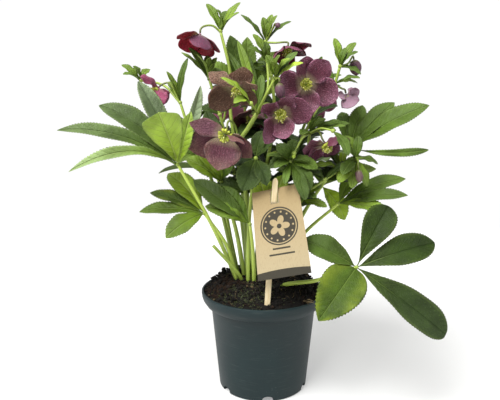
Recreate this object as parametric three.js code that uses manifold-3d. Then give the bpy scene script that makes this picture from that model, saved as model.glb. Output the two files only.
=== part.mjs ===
// A potted hellebore in flower, with its label on a stick.
// Millimetres, +Z up. The origin is the middle of the pot's base and the front of the plant faces -Y.
import * as THREE from "three";
import { mergeVertices } from "three/addons/utils/BufferGeometryUtils.js";
import Module from "manifold-3d";

const wasm = await Module();
wasm.setup();

// Driving dimensions.
const GAP = 0.3;
const POT = {
  height: 112, rim: 70, rimInner: 67.5, collarTop: 100, collarFoot: 65, step: 96,
  bodyTop: 59.3, base: 50.3, wall: 2, floor: 7, channelIn: 36, channelOut: 43, channelHigh: 5,
};
const NOTCH = { count: 6, first: -85, half: 4.9, high: 3.2, reachIn: 42.6, reachOut: 53 };
const DRAIN = { radius: 2.6, at: 39.5 };
const SOIL = { rimGap: 0.8, edge: 109.5, shoulder: 123, shoulderAt: 51, top: 129, rough: 1.6 };
const CROWN_DEEP = 112;
const HOLE = { ease: 1.4 * GAP, above: 7 };
const STALK_SIDES = 5;
const LEAF = { thick: 1.4, rows: 4, fold: 0.15, arch: 6, knob: 3.2, start: 1.6 };
const PETIOLE = { foot: 2.4, tip: 1.5, bends: 5 };
const BRACT = { thick: 1.2, rows: 2, fold: 0.2, arch: 3, width: 9, knob: 2.6, start: 1.3 };
const STEM = { foot: 2.6, tip: 1.7, bends: 7, branch: 1.8, branchTip: 1.3, branchBends: 4 };
const PEDICEL = { foot: 1.3, tip: 1.0, bends: 5, sides: 4, straight: 4, seat: 1.5 * GAP };
const SEPAL = { thick: 1.1, rows: 4, fold: 0.2, plump: 0.84, start: 1.2, bow: -0.08, roll: 11, knob: 2.2 };
const SEPAL_VARIES = { lean: 7, length: 0.05 };
const EYE = { core: 3, clear: 1.9, sides: 10 };
const BLADE = { tipHalf: 0.4, endThin: 0.55, waver: 0.06, toothLean: 0.03 };
const TOOTH = 0.12;
const MERGE = 1e-4;

const v = (x, y, z) => new THREE.Vector3(x, y, z);
const at = (list) => new THREE.Vector3(list[0], list[1], list[2]);
const turn = (degrees) => (degrees * Math.PI) / 180;
const range = (count) => Array.from({ length: count }, (_, i) => i);

// A repeatable number between -1 and 1 for a whole number or a length.
function wobble(seed) {
  const wave = Math.sin(seed * 12.9898 + 4.137) * 43758.5453;
  return 2 * (wave - Math.floor(wave)) - 1;
}

// Solids: a three.js geometry becomes a manifold with its shared corners merged.
function solid(geometry) {
  const bare = geometry.index ? geometry.toNonIndexed() : geometry.clone();
  const open = new THREE.BufferGeometry();
  open.setAttribute("position", bare.getAttribute("position"));
  const merged = mergeVertices(open, MERGE);
  const index = merged.index.array;
  const position = merged.getAttribute("position");
  const faces = [];
  let volume = 0;
  for (let i = 0; i < index.length; i += 3) {
    const [a, b, c] = [index[i], index[i + 1], index[i + 2]];
    if (a !== b && b !== c && c !== a) {
      faces.push(a, b, c);
      const cross = v().fromBufferAttribute(position, b).cross(v().fromBufferAttribute(position, c));
      volume += v().fromBufferAttribute(position, a).dot(cross);
    }
  }
  if (volume < 0) {
    faces.reverse();
  }
  return new wasm.Manifold(new wasm.Mesh({
    numProp: 3, vertProperties: position.array, triVerts: new Uint32Array(faces),
  }));
}

function geometryOf(body) {
  const mesh = body.getMesh();
  const geometry = new THREE.BufferGeometry();
  geometry.setAttribute("position", new THREE.BufferAttribute(new Float32Array(mesh.vertProperties), 3));
  geometry.setIndex(new THREE.BufferAttribute(new Uint32Array(mesh.triVerts), 1));
  const flat = geometry.toNonIndexed();
  flat.computeVertexNormals();
  return flat;
}

// Joins bodies into one: a loose scrap is dropped and a hollow that the join seals is filled.
function join(bodies) {
  const parts = bodies.reduce((sum, body) => sum.add(body)).decompose();
  return parts.reduce((kept, part) => (part.volume() > kept.volume() ? part : kept));
}

// A skin given by its corners and by triangles of corner numbers.
function skin(points, faces) {
  const geometry = new THREE.BufferGeometry().setFromPoints(points);
  geometry.setIndex(faces);
  return solid(geometry);
}

// A closed skin over rings of points, with the two ends capped.
function loft(rings) {
  const count = rings[0].length;
  const last = (rings.length - 1) * count;
  const faces = [];
  for (let start = 0; start < last; start += count) {
    for (let i = 0; i < count; i += 1) {
      const a = start + i;
      const b = start + ((i + 1) % count);
      faces.push(a, b, b + count, a, b + count, a + count);
    }
  }
  for (let i = 1; i < count - 1; i += 1) {
    faces.push(0, i + 1, i, last, last + i, last + i + 1);
  }
  return skin(rings.flat(), faces);
}

// The rings of a tapering stalk along a smooth curve through its points.
function stalkRings(points, thick, thin, steps, sides = STALK_SIDES) {
  const curve = new THREE.CatmullRomCurve3(points, false, "centripetal");
  const frames = curve.computeFrenetFrames(steps);
  return range(steps + 1).map((i) => {
    const centre = curve.getPointAt(i / steps);
    const radius = THREE.MathUtils.lerp(thick, thin, i / steps);
    const ring = range(sides).map((k) => {
      const angle = (k / sides) * 2 * Math.PI;
      const out = frames.normals[i].clone().multiplyScalar(Math.cos(angle));
      out.addScaledVector(frames.binormals[i], Math.sin(angle));
      return centre.clone().addScaledVector(out, radius);
    });
    ring.centre = centre;
    ring.radius = radius;
    return ring;
  });
}

// The hole that the foot of a stalk stands in: its own rings, wider by the gap, up to above the soil.
const footHoles = [];
function keepFoot(rings) {
  const top = rings.findIndex((ring) => ring.centre.z > SOIL.top + HOLE.above);
  const wide = rings.slice(0, top + 1).map((ring) => ring.map((point) => {
    const out = point.clone().sub(ring.centre);
    return ring.centre.clone().addScaledVector(out, 1 + HOLE.ease / ring.radius);
  }));
  wide[0].forEach((point) => point.setZ(point.z - GAP));
  footHoles.push(loft(wide));
}

function knob(centre, radius) {
  const ball = new THREE.OctahedronGeometry(radius, 0);
  ball.translate(centre.x, centre.y, centre.z);
  return solid(ball);
}

// A leaf blade or a sepal: a rib from base to tip that bows by `arch` towards `up`, and two margins.
// `wide` is [t power, 1-t power, narrowest half]: how the half width runs from base to tip.
function blade(shape) {
  const { base, tip, up, width, arch, thick, rows, wide, fold, roll, teeth = 0, seed } = shape;
  const along = tip.clone().sub(base);
  const length = along.length();
  along.normalize();
  const side = along.clone().cross(up).normalize();
  const face = side.clone().cross(along);
  side.applyAxisAngle(along, turn(roll));
  face.applyAxisAngle(along, turn(roll));
  const peak = wide[0] / (wide[0] + wide[1]);
  const tallest = peak ** wide[0] * (1 - peak) ** wide[1];
  const rib = (t) => {
    const bow = 4 * arch * t * (1 - t);
    return base.clone().addScaledVector(along, length * t).addScaledVector(face, bow);
  };
  const half = (t) => Math.max(
    (width / 2) * (t ** wide[0] * (1 - t) ** wide[1]) / tallest,
    t < peak ? wide[2] : BLADE.tipHalf,
  );
  const points = [];
  const margins = teeth > 0 ? 2 : 1;
  for (let i = 0; i <= rows * margins; i += 1) {
    const t = i / (rows * margins);
    const notch = margins === 2 && i % 2 === 1 ? 1 + teeth : 1;
    const reach = half(t) * notch * (1 + BLADE.waver * wobble(seed + i));
    const middle = rib(Math.min(1, t + (notch > 1 ? BLADE.toothLean : 0)));
    points.push(middle.clone().addScaledVector(side, -reach).addScaledVector(face, reach * fold));
    points.push(middle.clone().addScaledVector(side, reach).addScaledVector(face, reach * fold));
  }
  const ribStart = points.length;
  for (let i = 0; i <= rows; i += 1) {
    const t = i / rows;
    const deep = (thick / 2) * (i === rows || i === 0 ? BLADE.endThin : 1);
    points.push(rib(t).addScaledVector(face, deep));
    points.push(rib(t).addScaledVector(face, -deep));
  }
  const faces = [];
  for (let i = 0; i < rows; i += 1) {
    const m = 2 * i * margins;
    const r = ribStart + 2 * i;
    for (const [left, top, flip] of [[0, 0, false], [1, 0, true], [0, 1, true], [1, 1, false]]) {
      const near = r + top;
      const strip = [[near, near + 2, m + left + 2 * margins]];
      for (let step = margins; step > 0; step -= 1) {
        strip.push([near, m + left + 2 * step, m + left + 2 * step - 2]);
      }
      strip.forEach(([a, b, c]) => faces.push(...(flip ? [a, c, b] : [a, b, c])));
    }
  }
  faces.push(ribStart, 0, ribStart + 1, ribStart, ribStart + 1, 1);
  const m = 2 * rows * margins;
  const r = ribStart + 2 * rows;
  faces.push(r, r + 1, m, r, m + 1, r + 1);
  return skin(points, faces);
}

// Half-width powers of the blades: leaflets are widest past the middle, bracts nearer it, sepals round.
const LEAFLET_WIDE = [1.15, 0.8, 0.6];
const SPATULATE = [1.6, 0.6, 0.6];
const LOBE_WIDE = [0.9, 0.8, 0.6];
const SEPAL_WIDE = [0.95, 0.7, 0.9];

// Where a blade starts: a little way out of its hub, so that neighbours don't crowd inside it.
function startOf(hub, tip, out) {
  return hub.clone().addScaledVector(tip.clone().sub(hub).normalize(), out);
}

// A basal leaf: a petiole from the crown to the hub, and leaflets fanned out from there.
function leaf({ foot, way, hub, up, leaflets, teeth, wide = [] }) {
  const centre = at(hub);
  const end = startOf(centre, at(way.at(-1)), 1);
  const rings = stalkRings([at(foot), ...way.map(at), end], PETIOLE.foot, PETIOLE.tip, PETIOLE.bends);
  keepFoot(rings);
  const blades = leaflets.map(([x, y, z, width, arch = LEAF.arch, roll = 0], i) => blade({
    base: startOf(centre, v(x, y, z), LEAF.start), tip: v(x, y, z), up: at(up), width, arch, roll,
    thick: LEAF.thick, rows: LEAF.rows, wide: wide[i] ?? LEAFLET_WIDE, fold: LEAF.fold, teeth, seed: x + i,
  }));
  return join([loft(rings), knob(centre, LEAF.knob), ...blades]);
}

// A tuft of narrow bracts round a node of a flowering stem.
function tuft({ hub, up = [0, -0.5, 0.85], lobes }) {
  const centre = at(hub);
  const blades = lobes.map(([x, y, z, width = BRACT.width, arch = BRACT.arch], i) => blade({
    base: startOf(centre, v(x, y, z), BRACT.start), tip: v(x, y, z), up: at(up), width, arch, roll: 0,
    thick: BRACT.thick, rows: BRACT.rows, wide: LOBE_WIDE, fold: BRACT.fold, seed: x + i,
  }));
  return [knob(centre, BRACT.knob), ...blades];
}

// A pedicel from a node to just behind the bloom or bud that it carries.
function pedicel({ from, over = [], carries, thin = PEDICEL.tip }) {
  const axis = at(carries.facing).normalize();
  const knobReach = carries.knob / (Math.abs(axis.x) + Math.abs(axis.y) + Math.abs(axis.z));
  const end = at(carries.centre).addScaledVector(axis, -(knobReach + PEDICEL.seat));
  const before = end.clone().addScaledVector(axis, -PEDICEL.straight);
  const points = [at(from), ...over.map(at), before, end];
  return loft(stalkRings(points, PEDICEL.foot, thin, PEDICEL.bends, PEDICEL.sides));
}

// A flowering stem: its axis from the crown, side branches, tufts of bracts and pedicels.
function flowerStem({ foot, way, thick = STEM.foot, thin = STEM.tip, branches = [], tufts, pedicels }) {
  const rings = stalkRings([at(foot), ...way.map(at)], thick, thin, STEM.bends);
  keepFoot(rings);
  const arms = branches.map((points) => (
    loft(stalkRings(points.map(at), STEM.branch, STEM.branchTip, STEM.branchBends))
  ));
  return join([loft(rings), ...arms, ...tufts.flatMap(tuft), ...pedicels.map(pedicel)]);
}

// The directions round a bloom's axis: spun to the bloom's own start.
function petalDirection(axis, degrees) {
  const reference = Math.abs(axis.z) > 0.8 ? v(0, 1, 0) : v(0, 0, 1);
  const across = reference.clone().addScaledVector(axis, -reference.dot(axis)).normalize();
  return across.applyAxisAngle(axis, turn(degrees));
}

// The tips of a bloom's five sepals, set round its axis by rule, each as [x, y, z, width].
function sepalTips({ centre, facing, length, open, spin, plump = SEPAL.plump }) {
  const axis = at(facing).normalize();
  return range(5).map((i) => {
    const out = petalDirection(axis, spin + 72 * i);
    const lean = turn(open + SEPAL_VARIES.lean * wobble(spin + 3 * i));
    const direction = out.multiplyScalar(Math.sin(lean)).addScaledVector(axis, Math.cos(lean));
    const reach = length * (1 + SEPAL_VARIES.length * wobble(length + i));
    return [...at(centre).addScaledVector(direction, reach).toArray(), length * plump];
  });
}

// The five sepals of a bloom, each rolled a little so that it lies over its neighbour.
function sepals({ centre, facing, rows = SEPAL.rows, tips, ...rule }) {
  const axis = at(facing).normalize();
  const middle = at(centre);
  const blades = (tips ?? sepalTips({ centre, facing, ...rule })).map(([x, y, z, width, roll], i) => {
    const tip = v(x, y, z);
    const out = tip.clone().sub(middle);
    const reach = out.length();
    out.addScaledVector(axis, -out.dot(axis)).normalize();
    return blade({
      base: middle.clone().addScaledVector(out, SEPAL.start), tip, up: axis, width, rows,
      arch: SEPAL.bow * reach, thick: SEPAL.thick, wide: SEPAL_WIDE, fold: SEPAL.fold,
      roll: roll ?? SEPAL.roll, seed: x + i,
    });
  });
  return join([knob(middle, SEPAL.knob), ...blades]);
}

// The eye of a bloom: rows of nectaries, stamens and styles drawn out of a small round core.
function eye({ centre, facing }) {
  const axis = at(facing).normalize();
  const { core, sides } = EYE;
  const middle = at(centre).addScaledVector(axis, core + EYE.clear);
  const rows = [
    { from: 24, spikes: 5, reach: 9.5 },
    { from: 46, spikes: 5, reach: 8.5 },
    { from: 68, spikes: 5, reach: 7.5 },
    { from: 100, spikes: 5, reach: 5 },
  ];
  const points = [middle.clone().addScaledVector(axis, core)];
  rows.forEach((row, j) => range(sides).forEach((i) => {
    const drawn = (i + j) % (sides / row.spikes) === 0;
    const out = petalDirection(axis, (360 / sides) * i);
    const lean = turn(row.from);
    const direction = out.multiplyScalar(Math.sin(lean)).addScaledVector(axis, Math.cos(lean));
    points.push(middle.clone().addScaledVector(direction, drawn ? row.reach : core));
  }));
  points.push(middle.clone().addScaledVector(axis, -core));
  const faces = [];
  const last = points.length - 1;
  for (let i = 0; i < sides; i += 1) {
    const next = (i + 1) % sides;
    faces.push(0, 1 + i, 1 + next);
    for (let j = 0; j < rows.length - 1; j += 1) {
      const a = 1 + j * sides + i;
      const b = 1 + j * sides + next;
      faces.push(a, a + sides, b + sides, a, b + sides, b);
    }
    faces.push(last, last - sides + next, last - sides + i);
  }
  return skin(points, faces);
}

// A closed bud: a pointed egg hung from its pedicel.
function bud({ centre, facing, length, radius }) {
  const profile = [[0, 0], [0.6, 0.05], [0.95, 0.3], [1, 0.5], [0.7, 0.8], [0, 1]];
  const points = profile.map(([r, t]) => new THREE.Vector2(r * radius, t * length));
  const shape = new THREE.LatheGeometry(points, 7);
  shape.rotateX(Math.PI / 2);
  const axis = at(facing).normalize();
  shape.applyQuaternion(new THREE.Quaternion().setFromUnitVectors(v(0, 0, 1), axis));
  shape.translate(...centre);
  return solid(shape);
}

// Colours of the living pieces.
const GREEN = {
  mid: 0x5e8a2e, blue: 0x4f7f3a, grey: 0x4a6b3a, dark: 0x3c5c24, lime: 0x86b03a, stem: 0x8fb045,
};
const PLUM = {
  mid: 0x7a3b52, smoky: 0x6b3f46, tan: 0x7e5a4c, crimson: 0x8e1f38, mauve: 0x8c5b7a, pink: 0xa06a7c,
};

// The basal leaves, from the front left round by the right to the back.
const LEAVES = {
  leaf_left_upper: {
    foot: [-24, -10], way: [[-44, -24, 190]], hub: [-89, -40, 258], up: [0.15, -0.75, 0.65], teeth: TOOTH,
    color: GREEN.blue,
    leaflets: [[-204, -60, 294, 19, 20], [-187, -84, 256, 17, 26], [-170, -30, 318, 28, 16],
      [-133, -10, 343, 26], [-107, -88, 314, 38], [-72, -61, 312, 17], [-66, -22, 338, 13, 4, 40]],
    wide: { 4: SPATULATE },
  },
  leaf_left_lower: {
    foot: [-26, -14], way: [[-40, -26, 168]], hub: [-63, -35, 206], up: [0.1, -0.6, 0.8],
    leaflets: [[-130, -42, 209, 16], [-122, -22, 226, 16], [-100, -62, 186, 23], [-104, -8, 245, 26]],
  },
  leaf_left_centre: {
    foot: [-10, -22], way: [[-12, -31, 165]], hub: [-15, -42, 196], up: [0.2, -0.8, 0.6],
    leaflets: [[-75, -56, 240, 23], [-62, -50, 214, 17], [-48, -24, 232, 18]],
  },
  leaf_front_dark: {
    foot: [-17, -21], way: [[-16, -26, 195]], hub: [-9, -33, 264], up: [0.1, -0.9, 0.2], color: GREEN.dark,
    leaflets: [[-23, -54, 233, 26], [-38, -32, 262, 16], [2, -52, 238, 16]],
  },
  leaf_front_light: {
    foot: [-3, -22], way: [[0, -24, 165]], hub: [3, -28, 205], up: [0.1, -1, 0.3], color: GREEN.lime,
    leaflets: [[-7, -30, 249, 22], [20, -28, 246, 20], [36, -32, 208, 18]],
  },
  leaf_front_centre: {
    foot: [4, -19], way: [[14, -22, 195]], hub: [27, -30, 260], up: [0, -0.8, 0.6],
    leaflets: [[46, -46, 231, 20], [4, -42, 255, 13], [12, -30, 278, 14], [31, -26, 283, 13],
      [55, -40, 254, 14]],
  },
  leaf_right_lower: {
    foot: [0, -27], way: [[22, -34, 127], [56, -50, 138]], hub: [94, -60, 155], up: [0.1, -0.75, 0.65],
    teeth: TOOTH, color: GREEN.grey,
    leaflets: [[184, -75, 88, 36], [176, -50, 178, 32], [129, -40, 215, 32], [40, -44, 180, 28],
      [52, -92, 110, 45]],
    wide: { 0: SPATULATE, 1: SPATULATE, 2: SPATULATE },
  },
  leaf_right_middle: {
    foot: [9, -10], way: [[42, -2, 172]], hub: [85, 8, 209], up: [-0.1, -0.6, 0.8],
    leaflets: [[157, 0, 238, 20], [154, -22, 223, 17], [133, -32, 205, 17], [112, 12, 250, 20]],
  },
  leaf_right_upper: {
    foot: [11, 0], way: [[48, 12, 200]], hub: [98, 18, 270], up: [-0.2, -0.7, 0.7], teeth: TOOTH,
    leaflets: [[176, -8, 318, 27], [146, 20, 321, 24], [114, 38, 318, 18], [176, -14, 272, 13],
      [92, 50, 310, 16]],
  },
  leaf_right_back: {
    foot: [10, 5], way: [[38, 20, 180]], hub: [68, 30, 226], up: [-0.2, -0.5, 0.85],
    leaflets: [[94, 16, 188, 22], [134, 44, 244, 24], [112, 74, 240, 24], [80, 88, 232, 24]],
  },
  leaf_back_right: {
    foot: [7, 11], way: [[24, 34, 180]], hub: [44, 62, 238], up: [0, 0.3, 0.95],
    leaflets: [[108, 88, 258, 30], [88, 128, 244, 32], [52, 142, 232, 30], [16, 124, 250, 28]],
  },
  leaf_back_middle: {
    foot: [-6, 17], way: [[-6, 44, 160]], hub: [-8, 74, 188], up: [0, 0.4, 0.9],
    leaflets: [[50, 112, 184, 32], [24, 150, 176, 34], [-20, 156, 180, 34], [-58, 122, 190, 32]],
  },
  leaf_back_left: {
    foot: [-21, 12], way: [[-34, 36, 180]], hub: [-58, 58, 240], up: [0, 0.3, 0.95],
    leaflets: [[-66, 136, 240, 30], [-106, 120, 256, 32], [-132, 82, 262, 30], [-124, 48, 238, 24]],
  },
  leaf_left_back: {
    foot: [-26, 7], way: [[-40, 20, 180]], hub: [-54, 28, 270], up: [0.2, -0.5, 0.85],
    leaflets: [[-114, 24, 302, 22], [-100, 48, 276, 22], [-98, 30, 252, 20], [-66, 62, 302, 22]],
  },
  leaf_left_middle: {
    foot: [-19, -2], way: [[-30, -7, 180]], hub: [-46, -10, 236], up: [0.1, -0.7, 0.7],
    leaflets: [[-84, -16, 262, 20], [-60, -24, 268, 18], [-36, -12, 272, 18]],
  },
  leaf_top_back: {
    foot: [-14, 16], way: [[-18, 28, 220]], hub: [-21, 34, 322], up: [0, -0.8, 0.6],
    leaflets: [[-37, 27, 394, 22], [-18, 34, 393, 20], [-64, 34, 366, 22], [14, 44, 378, 22],
      [38, 46, 344, 20]],
  },
};

// The blooms, each with the way it faces and the length of its sepals.
const BLOOMS = {
  bloom_top_left: {
    centre: [-67, -10, 390], facing: [-0.12, -0.2, -0.97], color: PLUM.crimson,
    tips: [[-60, -28, 376, 24], [-87, -26, 386, 22], [-87, 2, 377, 25],
      [-63, 12, 371, 26], [-49, 3, 373, 23]],
  },
  bloom_top_right: {
    centre: [25, 0, 378], facing: [-0.1, -0.4, -0.91], color: PLUM.mauve,
    tips: [[7, -15, 363, 23], [48, -16, 380, 22], [41, 22, 371, 24],
      [22, 24, 361, 25], [36, -22, 373, 20]],
  },
  bloom_right: {
    centre: [42, -30, 339], facing: [0, -1, 0.05],
    tips: [[41, -43, 366, 21], [63, -44, 361, 25], [74, -35, 325, 30],
      [45, -39, 309, 27], [13, -38, 338, 30]],
  },
  bloom_centre: {
    centre: [15, -50, 310], facing: [0, -0.97, -0.22],
    tips: [[45, -66, 314, 31], [20, -63, 286, 25], [-1, -67, 282, 22, -30],
      [-3, -66, 318, 18, -20], [24, -67, 326, 20]],
  },
  bloom_left_low: {
    centre: [-39, -60, 290], facing: [-0.15, -0.9, -0.4], color: PLUM.smoky,
    tips: [[-75, -76, 301, 25, -30], [-75, -66, 273, 35], [-45, -65, 255, 33],
      [-13, -74, 269, 32], [-24, -80, 287, 26]],
  },
  bloom_left_high: {
    centre: [-28, -40, 335], facing: [0, -0.65, -0.76], color: PLUM.tan,
    tips: [[-56, -47, 350, 27, -12], [-21, -55, 355, 26, 12], [-8, -55, 337, 20],
      [-11, -27, 317, 25], [-56, -29, 315, 31]],
  },
  bloom_far_left: {
    centre: [-116, 15, 337], facing: [-0.75, -0.2, -0.63], rows: 3, color: PLUM.pink,
    tips: [[-129, -6, 348, 18], [-116, 1, 317, 20], [-110, 30, 320, 18],
      [-128, 29, 325, 18], [-104, 4, 326, 16]],
  },
  bloom_far_right: {
    centre: [92, 20, 329], facing: [0.25, -0.1, -0.95], rows: 3, color: PLUM.pink,
    tips: [[93, 4, 317, 19], [102, 3, 327, 18], [107, 32, 335, 15],
      [81, 7, 329, 15], [101, 37, 318, 16]],
  },
  bloom_right_low: {
    centre: [63, -30, 279], facing: [0.45, -0.45, -0.75],
    tips: [[39, -39, 273, 25], [72, -49, 276, 22], [46, -20, 257, 23],
      [74, -9, 264, 23], [90, -19, 280, 22]],
  },
  bloom_behind: {
    centre: [-14, 14, 306], facing: [0, -0.5, -0.85], length: 24, open: 66, spin: 0, rows: 3,
  },
  bloom_back_left: {
    centre: [-38, 74, 322], facing: [-0.3, 0.9, -0.3], length: 28, open: 74, spin: 10, rows: 3,
  },
  bloom_back_middle: {
    centre: [8, 84, 308], facing: [0.1, 0.9, -0.4], length: 32, open: 72, spin: 50, rows: 3,
  },
  bloom_back_right: {
    centre: [64, 70, 324], facing: [0.5, 0.8, -0.35], length: 26, open: 68, spin: 25, rows: 3,
  },
};

const BUDS = {
  bud_right: { centre: [97, 8, 366], facing: [0.2, -0.2, -1], length: 17, radius: 6.5 },
  bud_centre: { centre: [14, -47, 340], facing: [0.1, 0, -1], length: 16, radius: 5 },
  bud_top: { centre: [13, -4, 401], facing: [0.3, -0.8, -0.3], length: 6, radius: 2.8 },
  bud_withered: { centre: [98, -32, 252], facing: [0.1, -0.2, -1], length: 14, radius: 4 },
};

Object.values(BLOOMS).forEach((one) => Object.assign(one, { knob: SEPAL.knob }));
Object.values(BUDS).forEach((one) => Object.assign(one, { knob: 0 }));

// The flowering stems.
const STEMS = {
  stem_top_left: {
    foot: [-16, -8], way: [[-24, -2, 230], [-36, 0, 310], [-36, 0, 350], [-46, 0, 395]],
    tufts: [
      { hub: [-46, 0, 395], lobes: [[-61, 8, 424], [-49, -12, 415, 12], [-25, 0, 424], [-26, -12, 412],
        [-40, 16, 418]] },
    ],
    pedicels: [
      { from: [-46, 0, 394], over: [[-54, -3, 400], [-63, -7, 399]], carries: BLOOMS.bloom_top_left },
    ],
  },
  stem_centre: {
    foot: [-8, -12], way: [[-20, -12, 225], [-26, -13, 279], [-17, -14, 294], [-8, -15, 309]], thin: 2.4,
    branches: [
      [[-8, -15, 309], [-3, -12, 319], [4, -6, 338], [3, 0, 365]],
      [[-8, -15, 309], [0, -34, 326], [10, -42, 345]],
    ],
    tufts: [
      { hub: [3, 0, 365], lobes: [[-12, 0, 392, 10], [-17, -8, 377, 11], [1, -5, 384, 8]] },
      { hub: [10, -42, 345], lobes: [[1, -42, 367, 11], [14, -54, 366, 12], [32, -42, 370, 10]] },
      { hub: [-8, -15, 309], lobes: [[-28, -2, 385, 10, 6], [-38, 8, 374, 9, 5], [-16, 8, 370, 8]] },
    ],
    pedicels: [
      { from: [-8, -15, 309], over: [[2, -28, 320]], carries: BLOOMS.bloom_centre },
      { from: [10, -42, 344], carries: BUDS.bud_centre },
      { from: [-26, -13, 276], over: [[-31, -26, 298], [-37, -46, 302]], carries: BLOOMS.bloom_left_low },
    ],
  },
  stem_top: {
    foot: [-10, 7], way: [[0, 12, 230], [12, 14, 310], [2, 15, 386]],
    tufts: [
      { hub: [2, 15, 386], lobes: [[-1, 12, 411, 9], [9, 20, 415, 8], [29, 8, 406, 9], [-25, 15, 414, 7],
        [14, 6, 412, 8]] },
    ],
    pedicels: [
      { from: [2, 15, 385], over: [[12, 8, 384]], carries: BLOOMS.bloom_top_right },
      { from: [2, 15, 386], over: [[10, 4, 400]], carries: BUDS.bud_top },
      { from: [10, 13, 288], over: [[-2, 20, 312]], carries: BLOOMS.bloom_behind },
    ],
  },
  stem_right: {
    foot: [1, 3], way: [[20, 8, 230], [52, 8, 300], [76, 4, 340], [81, 0, 359]],
    tufts: [
      { hub: [81, 0, 359], lobes: [[74, 0, 388], [98, 5, 384], [98, -10, 373], [102, -8, 350],
        [86, -2, 378, 7]] },
      { hub: [77, 4, 342], lobes: [[100, -14, 346, 9], [103, 14, 342, 9], [58, 20, 366, 10]] },
    ],
    pedicels: [
      { from: [81, 0, 359], over: [[90, 4, 362]], carries: BUDS.bud_right },
      { from: [77, 4, 340], over: [[86, 14, 336]], carries: BLOOMS.bloom_far_right },
      { from: [52, 8, 300], over: [[48, -4, 328], [43, -16, 338]], carries: BLOOMS.bloom_right },
    ],
  },
  stem_left: {
    foot: [-16, 4], way: [[-30, 8, 230], [-46, 8, 300], [-59, 5, 346]],
    tufts: [
      { hub: [-59, 5, 346], lobes: [[-80, 0, 378, 10], [-61, 10, 371], [-50, 0, 368, 9], [-89, 8, 374, 6],
        [-46, 14, 356]] },
    ],
    pedicels: [
      { from: [-44, 8, 300], over: [[-36, -8, 335], [-29, -28, 344]], carries: BLOOMS.bloom_left_high },
    ],
  },
  stem_far_left: {
    foot: [-27, 1], way: [[-54, 6, 225], [-82, 12, 290], [-92, 14, 321]],
    branches: [[[-92, 14, 321], [-112, 26, 340], [-136, 22, 345]]],
    tufts: [
      { hub: [-136, 22, 345], lobes: [[-157, 22, 362], [-143, 14, 360], [-153, 9, 351], [-128, 32, 358]] },
      { hub: [-92, 14, 321], lobes: [[-82, 8, 368, 8, 6], [-105, 6, 354, 7], [-106, 26, 344, 9]] },
    ],
    pedicels: [{ from: [-92, 14, 320], over: [[-104, 16, 342]], carries: BLOOMS.bloom_far_left }],
  },
  stem_right_low: {
    foot: [2, -4], way: [[24, -6, 190], [44, -8, 250], [49, -12, 289]],
    tufts: [
      { hub: [49, -12, 289], lobes: [[65, -15, 304, 11], [91, -12, 299, 11], [37, -25, 288, 10],
        [74, -30, 292, 10]] },
    ],
    pedicels: [{ from: [49, -12, 288], over: [[57, -22, 291]], carries: BLOOMS.bloom_right_low }],
  },
  stem_right_bract: {
    foot: [3, -10], way: [[28, -16, 190], [46, -18, 224], [71, -20, 244], [97, -20, 262]],
    thick: 2.2, thin: 1.4,
    tufts: [
      { hub: [97, -20, 262], lobes: [[71, -55, 284, 12], [109, -24, 233, 12], [122, -16, 256, 11],
        [100, -18, 286, 10]] },
    ],
    pedicels: [{ from: [97, -20, 261], over: [[98, -29, 261]], carries: BUDS.bud_withered, thin: 0.8 }],
  },
  stem_back: {
    foot: [0, 14], way: [[-4, 42, 230], [-12, 58, 300], [-10, 60, 345]],
    tufts: [
      { hub: [-10, 58, 345], lobes: [[-30, 70, 372], [0, 80, 374], [12, 56, 372], [-14, 88, 360]] },
    ],
    pedicels: [
      { from: [-11, 60, 318], over: [[-20, 58, 335], [-32, 60, 331]], carries: BLOOMS.bloom_back_left },
      { from: [-12, 59, 306], over: [[0, 70, 320]], carries: BLOOMS.bloom_back_middle },
    ],
  },
  stem_back_right: {
    foot: [-4, 7], way: [[24, 32, 230], [50, 44, 300], [62, 48, 340]],
    tufts: [
      { hub: [62, 48, 340], lobes: [[78, 60, 366], [50, 62, 366], [90, 44, 352], [66, 34, 372]] },
    ],
    pedicels: [{ from: [61, 47, 335], over: [[62, 58, 338]], carries: BLOOMS.bloom_back_right }],
  },
};

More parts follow.
